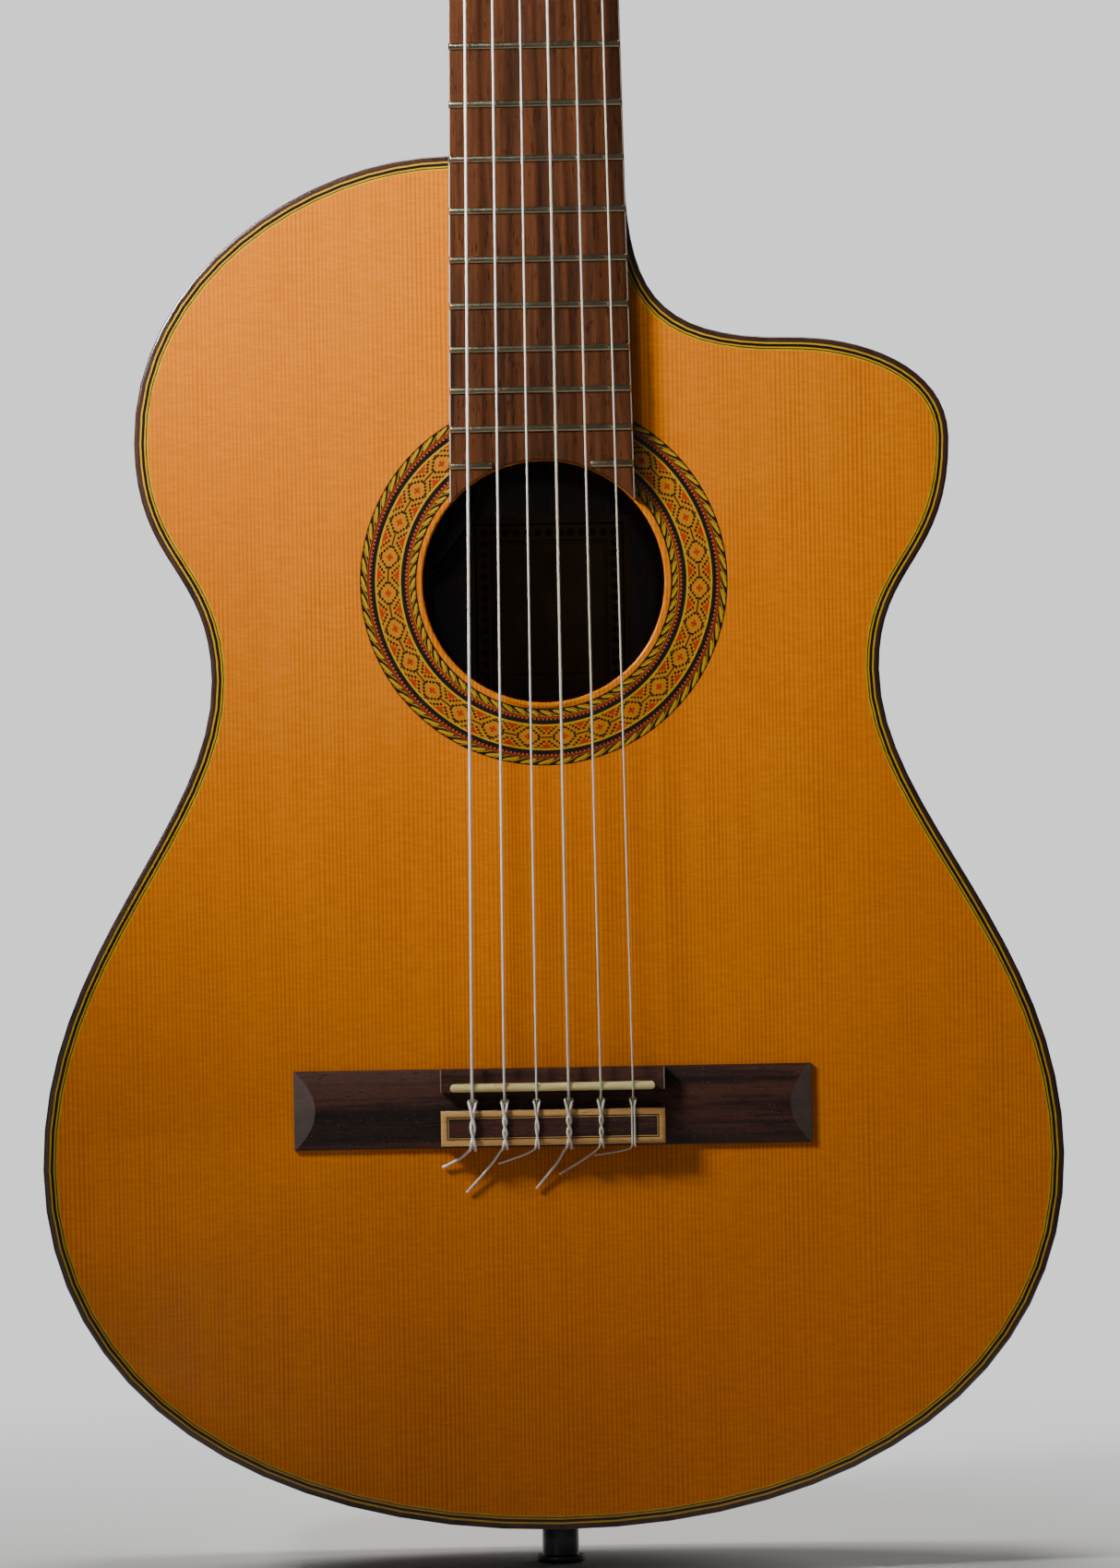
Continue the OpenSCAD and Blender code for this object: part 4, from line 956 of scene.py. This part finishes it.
def tie_block_panel():
    """The dark panel inside the light frame, edged with fine lines."""
    half_x = BLOCK_HALF - FRAME_WIDTH
    low, high = TIE_BACK + FRAME_WIDTH, TIE_FRONT - FRAME_WIDTH
    level = FRONT - TIE_HEIGHT
    piece = block("tie_block_panel", (-half_x, level - 0.03, low), (half_x, level + 0.2, high))
    for finish in (ROSEWOOD_BRIDGE, BLACK_LINE, MAPLE):
        piece.data.materials.append(finish.material)
    edit(piece)
    mark(piece, "faces", lambda face: face.normal.y < -0.9)
    let_in_lines(piece, ((0.35, 1), (0.28, 2), (0.3, 1)))
    leave()
    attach(piece, "root")
    return piece


def bridge_parts():
    bridge()
    tie_block_panel()
    smoothed("tie_block_trim", "tie_block_frame", MAPLE, "maple_trim", 40, 0.15)
    smoothed("saddle", "bone_saddle", BONE, "bone", 40, 0.35, 3)
    dress(STEEL, "pickup")


# ---- Neck ----


def fingerboard():
    """A tapered slab with its long edges rounded and its end hollowed to the sound hole."""
    half = board_half(BOARD_START)
    piece = block("finger_board", (-half, BOARD_TOP, BOARD_START), (half, FRONT, NUT_Z))
    edit(piece)
    mark(piece, "faces", lambda face: face.normal.z > 0.9)
    narrow = board_half(NUT_Z) / half
    bpy.ops.transform.resize(value=(narrow, 1, 1), orient_type="GLOBAL")
    leave()
    cut_round = rod("arc", (0, BOARD_TOP, HOLE_Z), BOARD_ARC, 40, "Y", 256)
    carve(piece, cut_round)
    edit(piece, "EDGE")
    mark(piece, "edges", lambda e: all(abs(v.co.y / MM - BOARD_TOP) < 0.01 for v in e.verts)
         and abs(middle(e).x) > 20 and abs(e.verts[0].co.z - e.verts[1].co.z) > 0.1)
    bpy.ops.mesh.bevel(offset=0.9 * MM, segments=4, affect="EDGES")
    leave()
    soften(piece, 40)
    return fit(piece, ROSEWOOD_BOARD, "rosewood_raw", "fingerboard")


def fret_bar(number, left, right):
    """One length of fret wire: a round crown with its ends filed to a slope."""
    crown = (FRET_RISE * FRET_RISE + FRET_HALF * FRET_HALF) / (2 * FRET_RISE)
    centre = ((left + right) / 2, BOARD_TOP - FRET_RISE + crown, fret_height(number))
    piece = rod("fret", centre, crown, right - left, "X", 40)
    cut(piece, (0, BOARD_TOP + 0.05, 0), (0, 1, 0))
    lean = math.radians(30)
    for place, side in ((left, -1), (right, 1)):
        cut(piece, (place, BOARD_TOP + 0.05, 0), (side * math.cos(lean), -math.sin(lean), 0))
    ease(piece, 0.12, 2, 35)
    soften(piece, 30)
    return piece


def frets():
    bars = []
    for number in range(1, 20):
        height = fret_height(number)
        half = board_half(height) - 0.05
        rise = height - FRET_HALF - HOLE_Z
        gap = math.sqrt(BOARD_ARC ** 2 - rise ** 2) if rise < BOARD_ARC else 0
        if gap:
            bars += [fret_bar(number, -half, -gap), fret_bar(number, gap, half)]
        else:
            bars.append(fret_bar(number, -half, half))
    return fit(join("fret_wires", bars), FRET_METAL, "fret_metal", "frets")


def neck_parts():
    smoothed("neck", "neck_and_head", MAHOGANY, "mahogany", 38)
    smoothed("head_veneer", "head_face", ROSEWOOD_BODY, "rosewood_body", 35, 0.3)
    smoothed("heel_cap", "cap_of_heel", ROSEWOOD_BODY, "rosewood_body", 35, 0.3)
    smoothed("nut", "bone_nut", BONE, "bone", 40, 0.25)
    fingerboard()
    frets()


# ---- Tuners ----


def tuners():
    smoothed("tuner_plates", "machine_plates", GOLD_PLATE, "gold_plate", 35, 0.2)
    smoothed("tuner_screws", "machine_screws", GOLD_PLATE, "gold_plate", 35, 0.2)
    for n in range(1, 7):
        smoothed(f"button_{n}", f"pearl_button_{n}", PEARL, "pearl", 50)
        smoothed(f"worm_{n}", f"worm_shaft_{n}", STEEL, "steel", 40)
        smoothed(f"gear_{n}", f"gear_wheel_{n}", GEAR_BRASS, "gear_brass", 30, 0.12)
        smoothed(f"roller_{n}", f"string_roller_{n}", NYLON_ROLLER, "nylon_roller", 40, 0.25)


# ---- Strings ----


def from_head(x, y, z):
    """A place on the head in the guitar's frame: z up the head, y into the wood."""
    return (x, FRONT + y * math.cos(HEAD_ANGLE) + z * math.sin(HEAD_ANGLE),
            NECK_END - y * math.sin(HEAD_ANGLE) + z * math.cos(HEAD_ANGLE))


def string_x(number, spread):
    return -spread / 2 + spread * number / 5


def through(places, steps):
    """A smooth line through places, with steps points between each two."""
    line = []
    ends = [places[0]] + places + [places[-1]]
    for a, b, c, d in zip(ends, ends[1:], ends[2:], ends[3:]):
        for k in range(steps):
            t = k / steps
            line.append(tuple(0.5 * (2 * q + (r - p) * t + (2 * p - 5 * q + 4 * r - s) * t * t
                                     + (3 * q - p - 3 * r + s) * t ** 3)
                              for p, q, r, s in zip(a, b, c, d)))
    return line + [places[-1]]


# How each string is tied: its half turns over the block, and where its cut end lies.
HALF_TURNS = [2, 3, 2, 3, 3, 0]
TAIL_X = [-11, -14, -14, -12, -15, -14]
TAIL_Z = [-6, -15, -5, -14, -9, -2.5]


def knot(number):
    """From the saddle through the block, back over it, round the string and out to the cut end."""
    x = string_x(number, SADDLE_SPREAD)
    d = STRING_SIZES[number]
    turns = HALF_TURNS[number]
    top = TIE_HEIGHT + STRING_GAP
    lift = top + (0.62 * d + d / 2 if turns else d / 2)
    wide = 0.6 * d + 0.05
    low, high = TIE_BACK + 0.2, TIE_FRONT + 0.4
    steps = 3 * max(turns, 1)

    def strand(phase):
        places = []
        for k in range(steps + 1):
            angle = phase + math.pi * turns * k / steps
            places.append((wide * math.cos(angle), lift + (wide * math.sin(angle) if turns else 0),
                           low + (high - low) * k / steps))
        return places

    front = 1 if turns % 2 == 0 else -1
    loop_reach = 3.2
    stand = TIE_FRONT + loop_reach
    rise = TIE_HOLE + (SADDLE_TOP - TIE_HOLE) * loop_reach / (SADDLE_BACK - TIE_FRONT)
    s = front * (0.62 * d + 0.15)
    loop = [(s * 1.4, rise + 0.9, stand - 0.9), (s * 1.7, rise - d * 0.5, stand),
            (s * 0.8, rise - d * 1.15, stand + 0.35), (-s * 0.8, rise - d * 1.15, stand + 0.35),
            (-s * 1.7, rise - d * 0.4, stand), (-s * 1.4, rise + 0.9, stand - 0.9)]
    side = 0.62 * d + 0.15
    places = [(0, SADDLE_TOP, SADDLE_Z + 4), (0, SADDLE_TOP + 0.02, SADDLE_Z + 0.8),
              (0, SADDLE_TOP, SADDLE_Z - 0.4), (0, SADDLE_TOP - 0.7, SADDLE_BACK - 0.7),
              (0, TIE_HOLE + 0.5, TIE_FRONT + 0.8), (0, TIE_HOLE, TIE_FRONT - 0.8),
              (0, TIE_HOLE, TIE_BACK + 0.8),
              (side * 0.3, 5.2, TIE_BACK - 0.3 - d * 0.6), (side * 0.8, 6.3, TIE_BACK - 0.7 - d * 0.8),
              (side, top - 0.8, TIE_BACK - 0.5 - d * 0.8)]
    places += strand(0) + loop + strand(math.pi)[::-1]
    places += [(-side * 1.4, top - 1.0, TIE_BACK - 0.9 - d * 0.5),
               (-side * 2.4, 5.2, TIE_BACK - 1.6 - d * 0.5),
               (TAIL_X[number] * 0.4, 3.0, TIE_BACK - 2.2 + TAIL_Z[number] * 0.35),
               (TAIL_X[number], 1.4, TIE_BACK - 1.8 + TAIL_Z[number])]
    return [(x + a, FRONT - h, z) for a, h, z in places]


COIL_START = [20.5, 15.5, 14.5, 14.5, 15.5, 20.5]
COIL_STEPS = 24
COIL_POINTS = 63


def coil(number):
    """The turns round the roller, from where the string first meets it."""
    side = -1 if number < 3 else 1
    row = number if number < 3 else 5 - number
    start = COIL_START[number]
    d = STRING_SIZES[number]
    radius = ROLLER_R + STRING_GAP + d / 2
    height = FIRST_ROLLER + ROLLER_SPACING * row
    over, up = NUT_REST[0] - FRONT, NUT_REST[1] - NECK_END
    bend_y = over * math.cos(HEAD_ANGLE) - up * math.sin(HEAD_ANGLE)
    bend_z = over * math.sin(HEAD_ANGLE) + up * math.cos(HEAD_ANGLE)
    reach = math.hypot(ROLLER_DEPTH - bend_y, height - bend_z)
    first = math.atan2(ROLLER_DEPTH - bend_y, height - bend_z) - math.asin(radius / reach)
    step = math.tau / COIL_STEPS
    pitch = d + STRING_GAP
    places = []
    for k in range(COIL_POINTS):
        angle = first + k * step
        places.append(from_head(side * (start - pitch * k / COIL_STEPS),
                                ROLLER_DEPTH - radius * math.cos(angle),
                                height + radius * math.sin(angle)))
    end = first + COIL_POINTS * step
    places.append(from_head(side * (start - pitch * 2.62), ROLLER_DEPTH - 2 * math.cos(end),
                            height + 2 * math.sin(end)))
    return places


def guitar_string(number, finish, slot):
    nut_x = string_x(number, NUT_SPREAD)
    foot = through(knot(number)[::-1], 6)
    line = foot + [(nut_x, *NUT_REST)] + coil(number)
    bpy.ops.object.select_all(action="DESELECT")
    bpy.ops.curve.primitive_nurbs_path_add()
    piece = bpy.context.object
    piece.location = (0, 0, 0)
    piece.data.splines.clear()
    spline = piece.data.splines.new("POLY")
    spline.points.add(len(line) - 1)
    for knot_point, place in zip(spline.points, line):
        knot_point.co = (*point(*place), 1)
    piece.data.bevel_depth = STRING_SIZES[number] / 2 * MM
    piece.data.bevel_resolution = 3
    piece.data.use_fill_caps = True
    only(piece)
    bpy.ops.object.convert(target="MESH")
    name_it(piece, f"tied_string_{number + 1}")
    soften(piece, 60)
    return fit(piece, finish, slot, f"string_{number + 1}")


def strings():
    for number in range(6):
        if number < 3:
            guitar_string(number, SILVER_WINDING, "silver_wound")
        else:
            guitar_string(number, CLEAR_NYLON, "clear_nylon")


# ---- Controls and wiring ----


def controls():
    smoothed("preamp_panel", "control_panel", BLACK_PLASTIC, "black_plastic", 30, 0.3)
    smoothed("battery_door", "battery_lid", BLACK_PLASTIC, "black_plastic", 30, 0.2)
    smoothed("volume_knob", "volume_dial", BLACK_RUBBER, "black_rubber", 40, 0.25)
    smoothed("tone_knob", "tone_dial", BLACK_RUBBER, "black_rubber", 40, 0.25)
    smoothed("output_jack", "jack_and_strap_button", DARK_NICKEL, "steel", 40, 0.35)
    dress(BLACK_PLASTIC, "preamp_box")
    smoothed("wiring", "leads", BLACK_RUBBER, "black_rubber", 60)


camera()
studio()
body()
bridge_parts()
neck_parts()
tuners()
strings()
controls()
